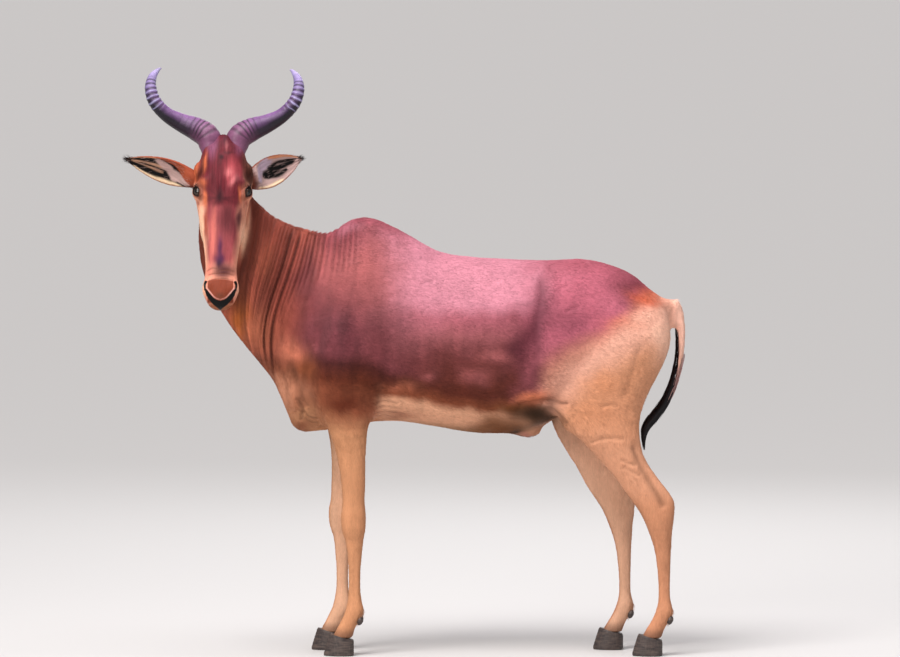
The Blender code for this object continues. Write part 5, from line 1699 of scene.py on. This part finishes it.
def claw_outline(level):
    """A claw's section at a share of its height: heel to toe and sideways, rounded by a smooth line
    through the plan."""
    toe = -CLAW_HALF_LENGTH - CLAW_TOE_REACH * (1 - level)
    width = CLAW_WIDTH + CLAW_SPREAD * (1 - level)
    length = toe - CLAW_HALF_LENGTH
    outer = [(CLAW_HALF_LENGTH + length * share, CLAW_SPLIT / 2 + width * part) for share, part in CLAW_PLAN]
    inner = [(CLAW_HALF_LENGTH + length * share, CLAW_SPLIT / 2) for share in (0.95, 0.5, 0.05)]
    return np.vstack([catmull_rom(outer, 7), catmull_rom(inner, 5)])


def claw_piece(name, foot_x, foot_y, way):
    rings = []
    for row in range(CLAW_ROWS):
        level = row / (CLAW_ROWS - 1)
        outline = claw_outline(level)
        middle = outline.mean(0)
        ring_wave = math.cos(2 * math.pi * GROWTH_RINGS * level)
        shrink = 1 - RING_DEPTH * (0.5 - 0.5 * ring_wave) - CLAW_FOOT_ROUNDING * step(0.06, 0.0, level)
        shrink = shrink - CLAW_TOP_ROUNDING * step(0.93, 1.0, level)
        outline = middle + (outline - middle) * shrink
        top = CORONET_HEIGHT + CORONET_OVERLAP - math.tan(CORONET_SLOPE) * outline[:, 0]
        x = foot_x + outline[:, 0]
        rings.append(np.column_stack([x, foot_y + way * outline[:, 1], top * level]))
    claw = finished(new_object(name, loft(rings)), "hoof_wall", hoof_material)
    claw.data.set_sharp_from_angle(angle=math.radians(50))
    return claw


def hoof_material():
    nodes = Nodes("hoof_wall", 0.42)
    place = nodes.place()
    rings = nodes.noise(nodes.mapping(place, (0.15, 0.15, 1.0)), 260.0, 3.0, 0.6)
    fibres = nodes.noise(nodes.mapping(place, (1.0, 1.0, 0.12)), 420.0, 2.0, 0.5)
    colour = nodes.mix_colour(nodes.ramp(rings, 0.35, 0.7), opaque(38, 30, 30), opaque(84, 70, 64))
    pale = nodes.math("MULTIPLY", nodes.ramp(fibres, 0.5, 0.8), 0.3)
    colour = nodes.mix_colour(pale, colour, opaque(120, 104, 92))
    nodes.paint(colour)
    nodes.roughen(nodes.ramp(fibres, 0.3, 0.7, 0.34, 0.6))
    nodes.bump(nodes.math("ADD", rings, nodes.math("MULTIPLY", fibres, 0.4)), 0.4, 0.0009)
    return nodes.material


def dewclaw_piece(name, x, y, z, way):
    lean = np.array(Matrix.Rotation(DEWCLAW_LEAN, 3, "Y")).T
    points, faces = ellipsoid((0, 0, 0), DEWCLAW_RADII, None, 24, 18)
    points[:, 2] *= 1 - 0.16 * (points[:, 2] > 0)
    points[:, :2] *= 1 + 0.05 * np.cos(points[:, 2:] * 900)
    points = points @ lean + (x, y + way * DEWCLAW_OUT, z)
    return finished(new_object(name, (points, faces)), "hoof_wall", hoof_material)


def foot_pieces():
    made = {}
    for leg, stride, coronet_x, dewclaw, out in (
        ("foreleg", FORE_STRIDE, FORE_CORONET_X, FORE_DEWCLAW, FORE_FOOT_OUT),
        ("hindleg", HIND_STRIDE, HIND_CORONET_X, HIND_DEWCLAW, HIND_FOOT_OUT),
    ):
        for sign, side in SIDES:
            swing = stride if sign == RIGHT else 0.0
            for place, way in (("outer", sign), ("inner", -sign)):
                node = f"{leg}_{side}_{place}"
                made[f"{node}_claw"] = claw_piece(f"{node}_hoof", coronet_x + swing, sign * out, way)
                dewclaw_place = (dewclaw[0] + swing, sign * out, dewclaw[1])
                made[f"{node}_dewclaw"] = dewclaw_piece(f"{node}_dew", *dewclaw_place, way)
    return made


# ---------------------------------------------------------------- coat


# Corners of each face of a wisp in the unwrap, round the place of its root
PATCH = 0.0015 * np.array(((-1, -1), (1, -1), (0, 1)))


class Wisps:
    """Closed wisps of hair, kept in arrays: a root triangle, more sections for long ones, and a tip."""

    def __init__(self):
        self.points, self.normals, self.colours, self.places = [], [], [], []
        self.sizes = []

    def add(self, lines, ups, widths, thickness, colours, places):
        """lines: N x rows x 3 points from root to tip. ups: N x 3. The last row is the tip."""
        count, rows, _ = lines.shape
        ahead = lines[:, -1] - lines[:, 0]
        side = np.cross(ahead, ups)
        side /= np.maximum(np.linalg.norm(side, axis=1), 1e-9)[:, None]
        fat = np.sin(np.linspace(0.9, math.pi, rows))[:-1] ** 0.7
        parts = []
        for row in range(rows - 1):
            width = (widths * fat[row])[:, None]
            centre = lines[:, row]
            parts += [centre - side * width, centre + side * width, centre + ups * (thickness * fat[row])]
        parts.append(lines[:, -1])
        points = np.stack(parts, 1)
        tilt = np.tile(np.array([-0.45, 0.45, 0.0]), rows - 1).tolist() + [0.0]
        normals = ups[:, None, :] + side[:, None, :] * np.array(tilt)[None, :, None]
        normals /= np.linalg.norm(normals, axis=2)[:, :, None]
        self.points.append(points.reshape(-1, 3))
        self.normals.append(normals.reshape(-1, 3))
        self.colours.append(np.repeat(colours, points.shape[1], axis=0))
        self.places.append(np.repeat(places, points.shape[1], axis=0))
        self.sizes.append((count, rows))

    @staticmethod
    def wisp_faces(rows):
        faces = [(0, 1, 2)]
        for row in range(rows - 2):
            for k in range(3):
                a, b = 3 * row + k, 3 * row + (k + 1) % 3
                faces += [(b, a, b + 3), (b + 3, a, a + 3)]
        last = 3 * (rows - 2)
        return np.array(faces + [(last + (k + 1) % 3, last + k, last + 3) for k in range(3)])

    def build(self, name, material):
        loops, base = [], 0
        for count, rows in self.sizes:
            size = 3 * (rows - 1) + 1
            offsets = base + np.arange(count)[:, None, None] * size
            loops.append((self.wisp_faces(rows) + offsets).reshape(-1))
            base += count * size
        loops = np.concatenate(loops).astype(np.int32)
        points = np.vstack(self.points)
        mesh = bpy.data.meshes.new(name)
        mesh.vertices.add(len(points))
        mesh.vertices.foreach_set("co", (points + SHIFT).astype(np.float32).ravel())
        mesh.loops.add(len(loops))
        mesh.loops.foreach_set("vertex_index", loops)
        mesh.polygons.add(len(loops) // 3)
        mesh.polygons.foreach_set("loop_start", np.arange(0, len(loops), 3, dtype=np.int32))
        mesh.update(calc_edges=True)
        colour_attribute(mesh, np.vstack(self.colours))
        layer = mesh.uv_layers.new(name="OFBake")
        places = np.vstack(self.places)[loops] + np.tile(PATCH, (len(loops) // 3, 1))
        layer.data.foreach_set("uv", np.clip(places, 0, 1).astype(np.float32).ravel())
        mesh.shade_smooth()
        mesh.normals_split_custom_set_from_vertices(np.vstack(self.normals).tolist())
        mesh.materials.append(material)
        return linked(name, mesh)


class SkinSurface:
    """The skin's triangles, for picking roots: their corners, normals, colours and places in the unwrap."""

    def __init__(self, skin):
        self.mesh = mesh = skin.data
        mesh.calc_loop_triangles()
        self.corners = values_of(mesh.loop_triangles, "vertices", 3, np.int32)
        loops = values_of(mesh.loop_triangles, "loops", 3, np.int32)
        self.uv = values_of(mesh.uv_layers["OFBake"].data, "uv", 2)[loops]
        self.points, self.normals = points_of(mesh) - SHIFT, normals_of(mesh)
        self.colours = values_of(mesh.attributes["coat_colour"].data, "color", 4)[:, :3].astype(float)
        a, b, c = (self.points[self.corners[:, k]] for k in range(3))
        self.areas = 0.5 * np.linalg.norm(np.cross(b - a, c - a), axis=1)
        self.middles = (a + b + c) / 3
        self.facing = self.normals[self.corners].mean(1)

    def mean_of(self, name):
        """A float attribute's mean over each triangle."""
        values = values_of(self.mesh.attributes[name].data, "value", 1)[:, 0]
        return values[self.corners].mean(1)

    def roots(self, count, weight, random):
        """Random places: points, normals, colours and unwrap places."""
        chance = self.areas * weight
        picked = random.choice(len(chance), count, p=chance / chance.sum())
        mix = random.dirichlet((1, 1, 1), count)
        corner = self.corners[picked]
        points = (self.points[corner] * mix[:, :, None]).sum(1)
        normals = (self.normals[corner] * mix[:, :, None]).sum(1)
        normals /= np.maximum(np.linalg.norm(normals, axis=1), 1e-9)[:, None]
        colours = (self.colours[corner] * mix[:, :, None]).sum(1)
        places = (self.uv[picked] * mix[:, :, None]).sum(1)
        return points, normals, colours, places


def ear_shares(points):
    """For each ear: 1 for the points on it, and the way to its tip."""
    for sign, _ in SIDES:
        tip_way, _, _ = ear_axes(sign)
        away = points - ear_root(sign)
        along = away @ tip_way
        beside = np.linalg.norm(away - along[:, None] * tip_way, axis=1)
        yield step(0.015, 0.03, along) * step(0.062, 0.058, beside), tip_way


def lie_of_coat(points, normals):
    """Unit vectors along the hair: back on the body, down the legs, neck and tail, up the face and ears."""
    up_face = HEAD_AXES[0] + HEAD_AXES[1] * np.sign(to_head(points)[:, 1:2]) * 0.25
    ways = (
        (step(0.74, 0.58, points[:, 2]), (0.1, 0.0, -1.0)),
        (step(-0.3, -0.45, points[:, 0]), (0.45, 0.15, -0.8)),
        (tail_share(points), (0.0, 0.0, -1.0)),
        (in_head(points), up_face),
        *ear_shares(points),
    )
    flow = np.tile((1.0, 0.0, -0.35), (len(points), 1))
    for share, way in ways:
        flow = flow * (1 - share[:, None]) + np.asarray(way) * share[:, None]
    flow = flow - normals * (flow * normals).sum(1)[:, None]
    return flow / np.maximum(np.linalg.norm(flow, axis=1), 1e-6)[:, None]


def combed(points, normals, spread, random):
    """The lie of the coat, turned a little at random at each root."""
    flow = lie_of_coat(points, normals)
    angle = random.normal(0, spread, len(points))[:, None]
    return flow * np.cos(angle) + np.cross(normals, flow) * np.sin(angle)


def hair_length(points):
    """Longest on the body and shortest on the face, the ears and the feet."""
    on_face = 0.0034 + 0.0018 * step(0.08, 0.3, to_head(points)[:, 0])
    regions = (
        (0.0085, step(-0.36, -0.44, points[:, 0])),
        (0.0075, step(0.66, 0.52, points[:, 2])),
        (0.0055, step(0.14, 0.09, points[:, 2])),
        (on_face, in_head(points)),
        *((0.0062, share) for share, _ in ear_shares(points)),
    )
    length = np.full(len(points), 0.0115)
    for amount, share in regions:
        length += (amount - length) * share
    return length


HAIR_SLIMNESS = 0.078  # half width over length
HAIR_LIFT, HAIR_TURN, HAIR_SHADE, HAIR_SINK = 0.1, 0.13, 0.07, 0.0008
HAIR_THICKNESS = 0.001


def short_wisps(surface, count, weight, random):
    """Flat-lying wisps of one span, spread over the skin."""
    points, normals, colours, places = surface.roots(count, weight, random)
    flow = combed(points, normals, HAIR_TURN, random)
    lengths = hair_length(points) * random.uniform(0.75, 1.25, count)
    rise = HAIR_LIFT * random.uniform(0.5, 1.5, count)
    tips = points + flow * lengths[:, None] + normals * (lengths * rise)[:, None]
    lines = np.stack([points - normals * HAIR_SINK, tips], 1)
    shade = np.clip(1 + random.normal(0, HAIR_SHADE, count), 0.7, 1.4)
    widths = lengths * HAIR_SLIMNESS * random.uniform(0.7, 1.3, count)
    wisps = Wisps()
    wisps.add(lines, normals, widths, HAIR_THICKNESS, colours * shade[:, None], places)
    return wisps


FRINGES = (  # where, count, length, lift off the skin and droop of the tips over the length, tint, half width
    ("nape", 1300, 0.012, 0.45, 0.0, None, 0.0004),
    ("ears", 240, 0.016, 0.3, 0.05, "ear_hair", 0.00022),
    ("ear_tips", 220, 0.016, 0.12, 0.0, "ear_tip", 0.0004),
    ("lashes", 130, 0.011, 1.3, 0.1, "nose", 0.0003),
    ("fetlocks", 420, 0.014, 0.45, 0.25, "shank", 0.0005),
)
FRINGE_ROWS, FRINGE_TURN, FRINGE_THICKNESS, TINT_SHARE = 4, 0.22, 0.0004, 0.8


def fringe_zones(surface):
    """Where the longer hairs grow, for each of the skin's triangles."""
    x, _, z = surface.middles.T
    facing, head = surface.facing, in_head(surface.middles)
    ears, tips = np.zeros((2, len(x)))
    for share, way in ear_shares(surface.middles):
        ears = np.maximum(ears, share)
        reach = surface.middles @ way
        furthest = reach[share > 0.5].max()
        tips = np.maximum(tips, share * step(furthest - 0.024, furthest - 0.006, reach))
    place = to_head(surface.middles)
    long, short, outward, distance = eye_place(place)
    measure = opening_measure(long, short)
    lid = (measure > 1.0) * (measure < 1.9) * (outward > 0.3) * (distance < 0.026) * (head > 0.9)
    crest = (x > -0.6) * (x < -0.3) * (z > 1.08)
    return {
        "nape": (1 - head) * (1 - ears) * step(0.75, 0.92, facing[:, 2]) * crest,
        "ears": (surface.mean_of("ear_inside") * step(0.03, 0.1, ears)) ** 4,
        "ear_tips": tips,
        "lashes": lid * (place[:, 0] > EYE_CENTRE[0] + 0.002),
        "fetlocks": (z > 0.095) * (z < 0.135) * (facing[:, 0] > 0.45) * (1 - head),
    }


def long_hairs(surface, count, weight, random, length, lift, droop, tint):
    """Longer bent strands."""
    points, normals, colours, places = surface.roots(count, weight, random)
    flow = combed(points, normals, FRINGE_TURN, random)
    lengths = (length * random.uniform(0.6, 1.25, count))[:, None]
    steep = lift * random.uniform(0.6, 1.4, count)[:, None]
    lines = []
    for part in np.linspace(0, 1, FRINGE_ROWS):
        rise = normals * (steep * part * (1 - 0.4 * part))
        lines.append(points + lengths * (flow * part + rise - np.array((0, 0, droop)) * part**2))
    if tint is not None:
        colours = colours + (PALETTE[tint] - colours) * TINT_SHARE
    shade = random.uniform(0.75, 1.25, count)[:, None]
    return np.stack(lines, 1) - normals[:, None] * HAIR_SINK, normals, colours * shade, places


def fringe_piece(surface):
    """The longer hair: the nape's ridge, the ears' insides and tips, the lashes and the fetlocks."""
    zones = fringe_zones(surface)
    wisps = Wisps()
    random = np.random.default_rng(FRINGE_SEED)
    for zone, count, length, lift, droop, tint, width in FRINGES:
        hairs = long_hairs(surface, count, zones[zone], random, length, lift, droop, tint)
        lines, normals, colours, places = hairs
        widths = width * random.uniform(0.7, 1.3, count)
        wisps.add(lines, normals, widths, FRINGE_THICKNESS, colours, places)
    return wisps.build("coat_long_hairs", bpy.data.materials["coat_tufts"])


COAT_WISPS = 45000  # in each piece


def coat_pieces(surface):
    material = tuft_material()
    middles = surface.middles
    x, y, z = middles.T
    head = in_head(middles)
    for share, _ in ear_shares(middles):
        head = np.maximum(head, share)
    _, _, outward, distance = eye_place(to_head(middles))
    eyes = step(0.03, 0.024, distance) * step(0.0, 0.3, outward)
    body = (1 - head) * (z > 0.6)
    trunk = body * (x > -0.4)
    count = int(COAT_WISPS * (1.0))
    regions = (
        ("coat_trunk_left_front", "saddle_coat", trunk * (y < 0) * (x < 0.07)),
        ("coat_trunk_left_rear", "saddle_coat", trunk * (y < 0) * (x >= 0.07)),
        ("coat_trunk_right_front", "saddle_coat", trunk * (y >= 0) * (x < 0.07)),
        ("coat_trunk_right_rear", "saddle_coat", trunk * (y >= 0) * (x >= 0.07)),
        ("coat_neck", "neck_coat", body * (x <= -0.4)),
        ("coat_head", "face_coat", head * (1 - nose_share(middles)) * (1 - eyes)),
        ("coat_legs", "tan_coat", (1 - head) * (z <= 0.6) * (z > 0.06)),
    )
    made = []
    for index, (name, slot, weight) in enumerate(regions):
        wisps = short_wisps(surface, count, weight, np.random.default_rng(COAT_SEED + index))
        made.append((wisps.build(name, material), slot))
    return made


TUFT_HAIRS = (  # of the tuft's middle: X, Z, radius
    (0.608, 0.905, 0.014), (0.6085, 0.86, 0.013), (0.6045, 0.812, 0.0122), (0.593, 0.763, 0.0115),
    (0.579, 0.722, 0.0118), (0.561, 0.686, 0.0132), (0.536, 0.655, 0.015), (0.513, 0.625, 0.0135),
    (0.506, 0.596, 0.008), (0.508, 0.56, 0.003),
)
TUFT_BEGINS = 3 / 9  # share of those stations
TUFT_STRANDS, LINE_STRANDS, PALE_STRANDS, STRAND_ROWS = 900, 240, 60, 8
STRAND_WIDTHS, STRAND_THICKNESS, THIN_STRANDS = (0.0006, 0.0013), 0.0012, 0.7
HAIR_BLACK, HAIR_PALE = srgb(14, 9, 14), srgb(150, 112, 108)
SIDEWAYS = np.array((0.0, 1.0, 0.0))


def tuft_frame():
    """The tuft's middle line with its radius, and at each of its points the way to the inner side."""
    rows = catmull_rom([(x, 0.0, z, radius) for x, z, radius in TUFT_HAIRS], 5)
    ahead = np.gradient(rows[:, :3], axis=0)
    ahead /= np.linalg.norm(ahead, axis=1)[:, None]
    inner = np.cross(ahead, SIDEWAYS)
    return rows, inner * np.sign(inner @ (-1.0, 0.0, 0.0))[:, None]


def strand_lines(rows, inner, begin, end, angle, far, flare, bend):
    """The points of strands that begin and end at shares of the tuft's length, at an angle round its
    middle."""
    lines = np.zeros((len(begin), STRAND_ROWS, 3))
    for k in range(STRAND_ROWS):
        part = k / (STRAND_ROWS - 1)
        t = (begin + (end - begin) * part) * (len(rows) - 1)
        low = np.clip(np.floor(t).astype(int), 0, len(rows) - 2)
        share = (t - low)[:, None]
        row = rows[low] * (1 - share) + rows[low + 1] * share
        out = row[:, 3] * (far * (1 - 0.25 * part) + flare * part**2)
        turned = (angle + bend * part)[:, None]
        way = inner[low] * np.cos(turned) + SIDEWAYS * np.sin(turned)
        lines[:, k] = row[:, :3] + way * out[:, None]
    return lines


def tail_tuft():
    """Black strands: a thin line of them down the tail's inner side, and the tuft all round its end."""
    random = np.random.default_rng(TUFT_SEED)
    rows, inner = tuft_frame()
    count = TUFT_STRANDS + LINE_STRANDS + PALE_STRANDS
    kind = np.repeat((0, 1, 2), (TUFT_STRANDS, LINE_STRANDS, PALE_STRANDS))
    tuft, line, pale = kind == 0, kind == 1, kind == 2
    angle = random.uniform(0, 2 * math.pi, count)
    begin = TUFT_BEGINS - 0.16 + random.uniform(0.0, 1.0, count) ** 1.3 * 0.52
    # Above the tail's end only the inner side carries black hair.
    reach = np.interp(begin, (0.0, 0.2, 0.32, 0.42), (0.35, 0.7, 1.5, math.pi))
    angle = np.where(tuft, (angle - math.pi) * reach / math.pi, angle)
    angle = np.where(line, random.normal(0, 0.3, count), angle)
    angle = np.where(pale, math.pi + random.normal(0, 0.9, count), angle)
    far = np.where(line, random.uniform(0.98, 1.12, count), np.sqrt(random.uniform(0.05, 1.0, count)))
    far = np.where(pale | (begin < TUFT_BEGINS), random.uniform(0.97, 1.08, count), far)
    begin = np.where(line, random.uniform(0.0, TUFT_BEGINS, count), begin)
    begin = np.where(pale, random.uniform(0.18, 0.42, count), begin)
    length = np.where(line, random.uniform(0.08, 0.2, count), random.uniform(0.2, 0.44, count))
    end = np.minimum(1.0, begin + np.where(pale, 0.16, length))
    flare = np.where(tuft, random.normal(0.0, 0.22, count), 0.0)
    bend = random.normal(0.0, 0.12, count)
    lines = strand_lines(rows, inner, begin, end, angle, far, flare, bend)
    middle = rows[np.round((begin + end) / 2 * (len(rows) - 1)).astype(int), :3]
    ahead = lines[:, -1] - lines[:, 0]
    ahead /= np.linalg.norm(ahead, axis=1)[:, None]
    outward = lines[:, STRAND_ROWS // 2] - middle
    outward = outward - ahead * (outward * ahead).sum(1)[:, None]
    outward /= np.maximum(np.linalg.norm(outward, axis=1), 1e-6)[:, None]
    shade = random.uniform(0.6, 2.0, count)[:, None]
    colours = np.where(pale[:, None], HAIR_PALE, HAIR_BLACK) * shade
    widths = random.uniform(*STRAND_WIDTHS, count) * np.where(tuft, 1.0, THIN_STRANDS)
    wisps = Wisps()
    wisps.add(lines, outward, widths, STRAND_THICKNESS, colours, np.full((count, 2), 0.5))
    return wisps.build("tail_hair", hair_material())


def hair_material():
    nodes = Nodes("tuft_hair", 0.42, Specular_IOR_Level=0.3)
    place = nodes.place()
    shade = nodes.ramp(nodes.noise(place, 300.0), 0.3, 0.7, 0.8, 1.2)
    nodes.paint(nodes.shaded(nodes.attribute("coat_colour", "Color"), shade))
    return nodes.material


# ---------------------------------------------------------------- floor, lights, camera


FLOOR_RADIUS, FLOOR_DEPTH, FLOOR_COLOUR = 60, 0.05, (0.58, 0.57, 0.56, 1)


def floor():
    reach = (0, FLOOR_RADIUS, 0), (FLOOR_RADIUS, 0, 0)
    points, faces = loft([oval((0, 0, z), *reach, sides=96) for z in (-FLOOR_DEPTH, 0.0)])
    obj = new_object("floor", (points, faces), shift=False)
    nodes = Nodes("pale_floor", 0.85)
    nodes.paint(FLOOR_COLOUR)
    obj.data.materials.append(nodes.material)


WORLD_STRENGTH, SUN_AWAY = 0.36, 5
SUN_FROM, SUN_STRENGTH, SUN_ANGLE = (-0.45, -0.7, 1.3), 2.6, math.radians(32)
AREA_LIGHTS = (  # name, place, diameter, power, colour
    ("overhead", (0.2, -0.6, 4.4), 3.0, 85, (1.0, 0.96, 1.0)),
    ("key", (-3.0, -3.8, 3.0), 2.0, 100, (1.0, 0.97, 0.93)),
    ("fill", (3.2, -4.0, 1.4), 3.0, 18, (1.0, 0.98, 0.96)),
    ("back", (0.8, 4.2, 3.2), 3.0, 50, (0.97, 0.97, 1.0)),
)


def aim(obj, place, target):
    obj.location = place
    obj.rotation_mode = "QUATERNION"
    obj.rotation_quaternion = (Vector(target) - Vector(place)).to_track_quat("-Z", "Y")


def lights():
    world = bpy.data.worlds.new("studio")
    bpy.context.scene.world = world
    world.use_nodes = True
    background = world.node_tree.nodes["Background"]
    background.inputs["Color"].default_value = (0.95, 0.94, 0.97, 1)
    background.inputs["Strength"].default_value = WORLD_STRENGTH
    middle = Vector(SHIFT) + Vector((0.0, 0.0, 0.8))
    for name, place, size, power, colour in AREA_LIGHTS:
        light = bpy.data.lights.new(name, "AREA")
        light.shape = "DISK"
        light.size = size
        light.energy = power
        light.color = colour
        aim(linked(name, light), place, middle)
    sun = bpy.data.lights.new("softbox", "SUN")
    sun.energy = SUN_STRENGTH
    sun.angle = SUN_ANGLE
    sun.color = (1.0, 0.97, 0.96)
    aim(linked("softbox", sun), Vector(SUN_FROM) * SUN_AWAY, (0, 0, 0))


CAMERA_DISTANCE, CAMERA_ELEVATION = 24.0, math.radians(4)
FRAME_WIDTH = 2.479  # of the view, at the animal
CAMERA_TARGET = (-0.02755, 0.0, 0.8967)


def camera():
    bpy.context.scene.view_settings.view_transform = "Standard"
    data = bpy.data.cameras.new("camera")
    data.sensor_width = 36
    data.lens = data.sensor_width * CAMERA_DISTANCE / FRAME_WIDTH
    data.clip_end = 200
    obj = linked("camera", data)
    away = Vector((0, -math.cos(CAMERA_ELEVATION), math.sin(CAMERA_ELEVATION)))
    obj.location = Vector(SHIFT) + Vector(CAMERA_TARGET) + away * CAMERA_DISTANCE
    obj.rotation_mode = "QUATERNION"
    obj.rotation_quaternion = (-away).to_track_quat("-Z", "Y")
    bpy.context.scene.camera = obj


# ---------------------------------------------------------------- all together

FLESH = ["trunk", "neck", "head", "ear_left", "ear_right", "tail"]
for leg in ("foreleg", "hindleg"):
    for _, side in SIDES:
        FLESH += [f"{leg}_{side}_upper", f"{leg}_{side}_lower"]


def dress(piece, slot, *nodes):
    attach(piece, "root")
    if nodes:
        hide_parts(*nodes)


def unwrap(skin):
    bpy.ops.object.select_all(action="DESELECT")
    bpy.context.view_layer.objects.active = skin
    skin.select_set(True)
    skin.data.uv_layers.new(name="OFBake")
    bpy.ops.object.mode_set(mode="EDIT")
    bpy.ops.mesh.select_all(action="SELECT")
    bpy.ops.uv.smart_project(angle_limit=math.radians(66), island_margin=0.001)
    bpy.ops.object.mode_set(mode="OBJECT")
    skin.select_set(False)


camera()
floor()
lights()
skin = whole_skin()
unwrap(skin)
dress(skin, "saddle_coat", *FLESH)
for sign, side in SIDES:
    dress(eye_piece(sign, side), "eye", f"eye_{side}")
    dress(horn_piece(sign, side), "horn", f"horn_{side}")
for node, piece in foot_pieces().items():
    dress(piece, "hoof", node)
dress(tail_tuft(), "tuft_hair", "tail_tuft")
surface = SkinSurface(skin)
for piece, slot in coat_pieces(surface):
    dress(piece, slot)
dress(fringe_piece(surface), "neck_coat")
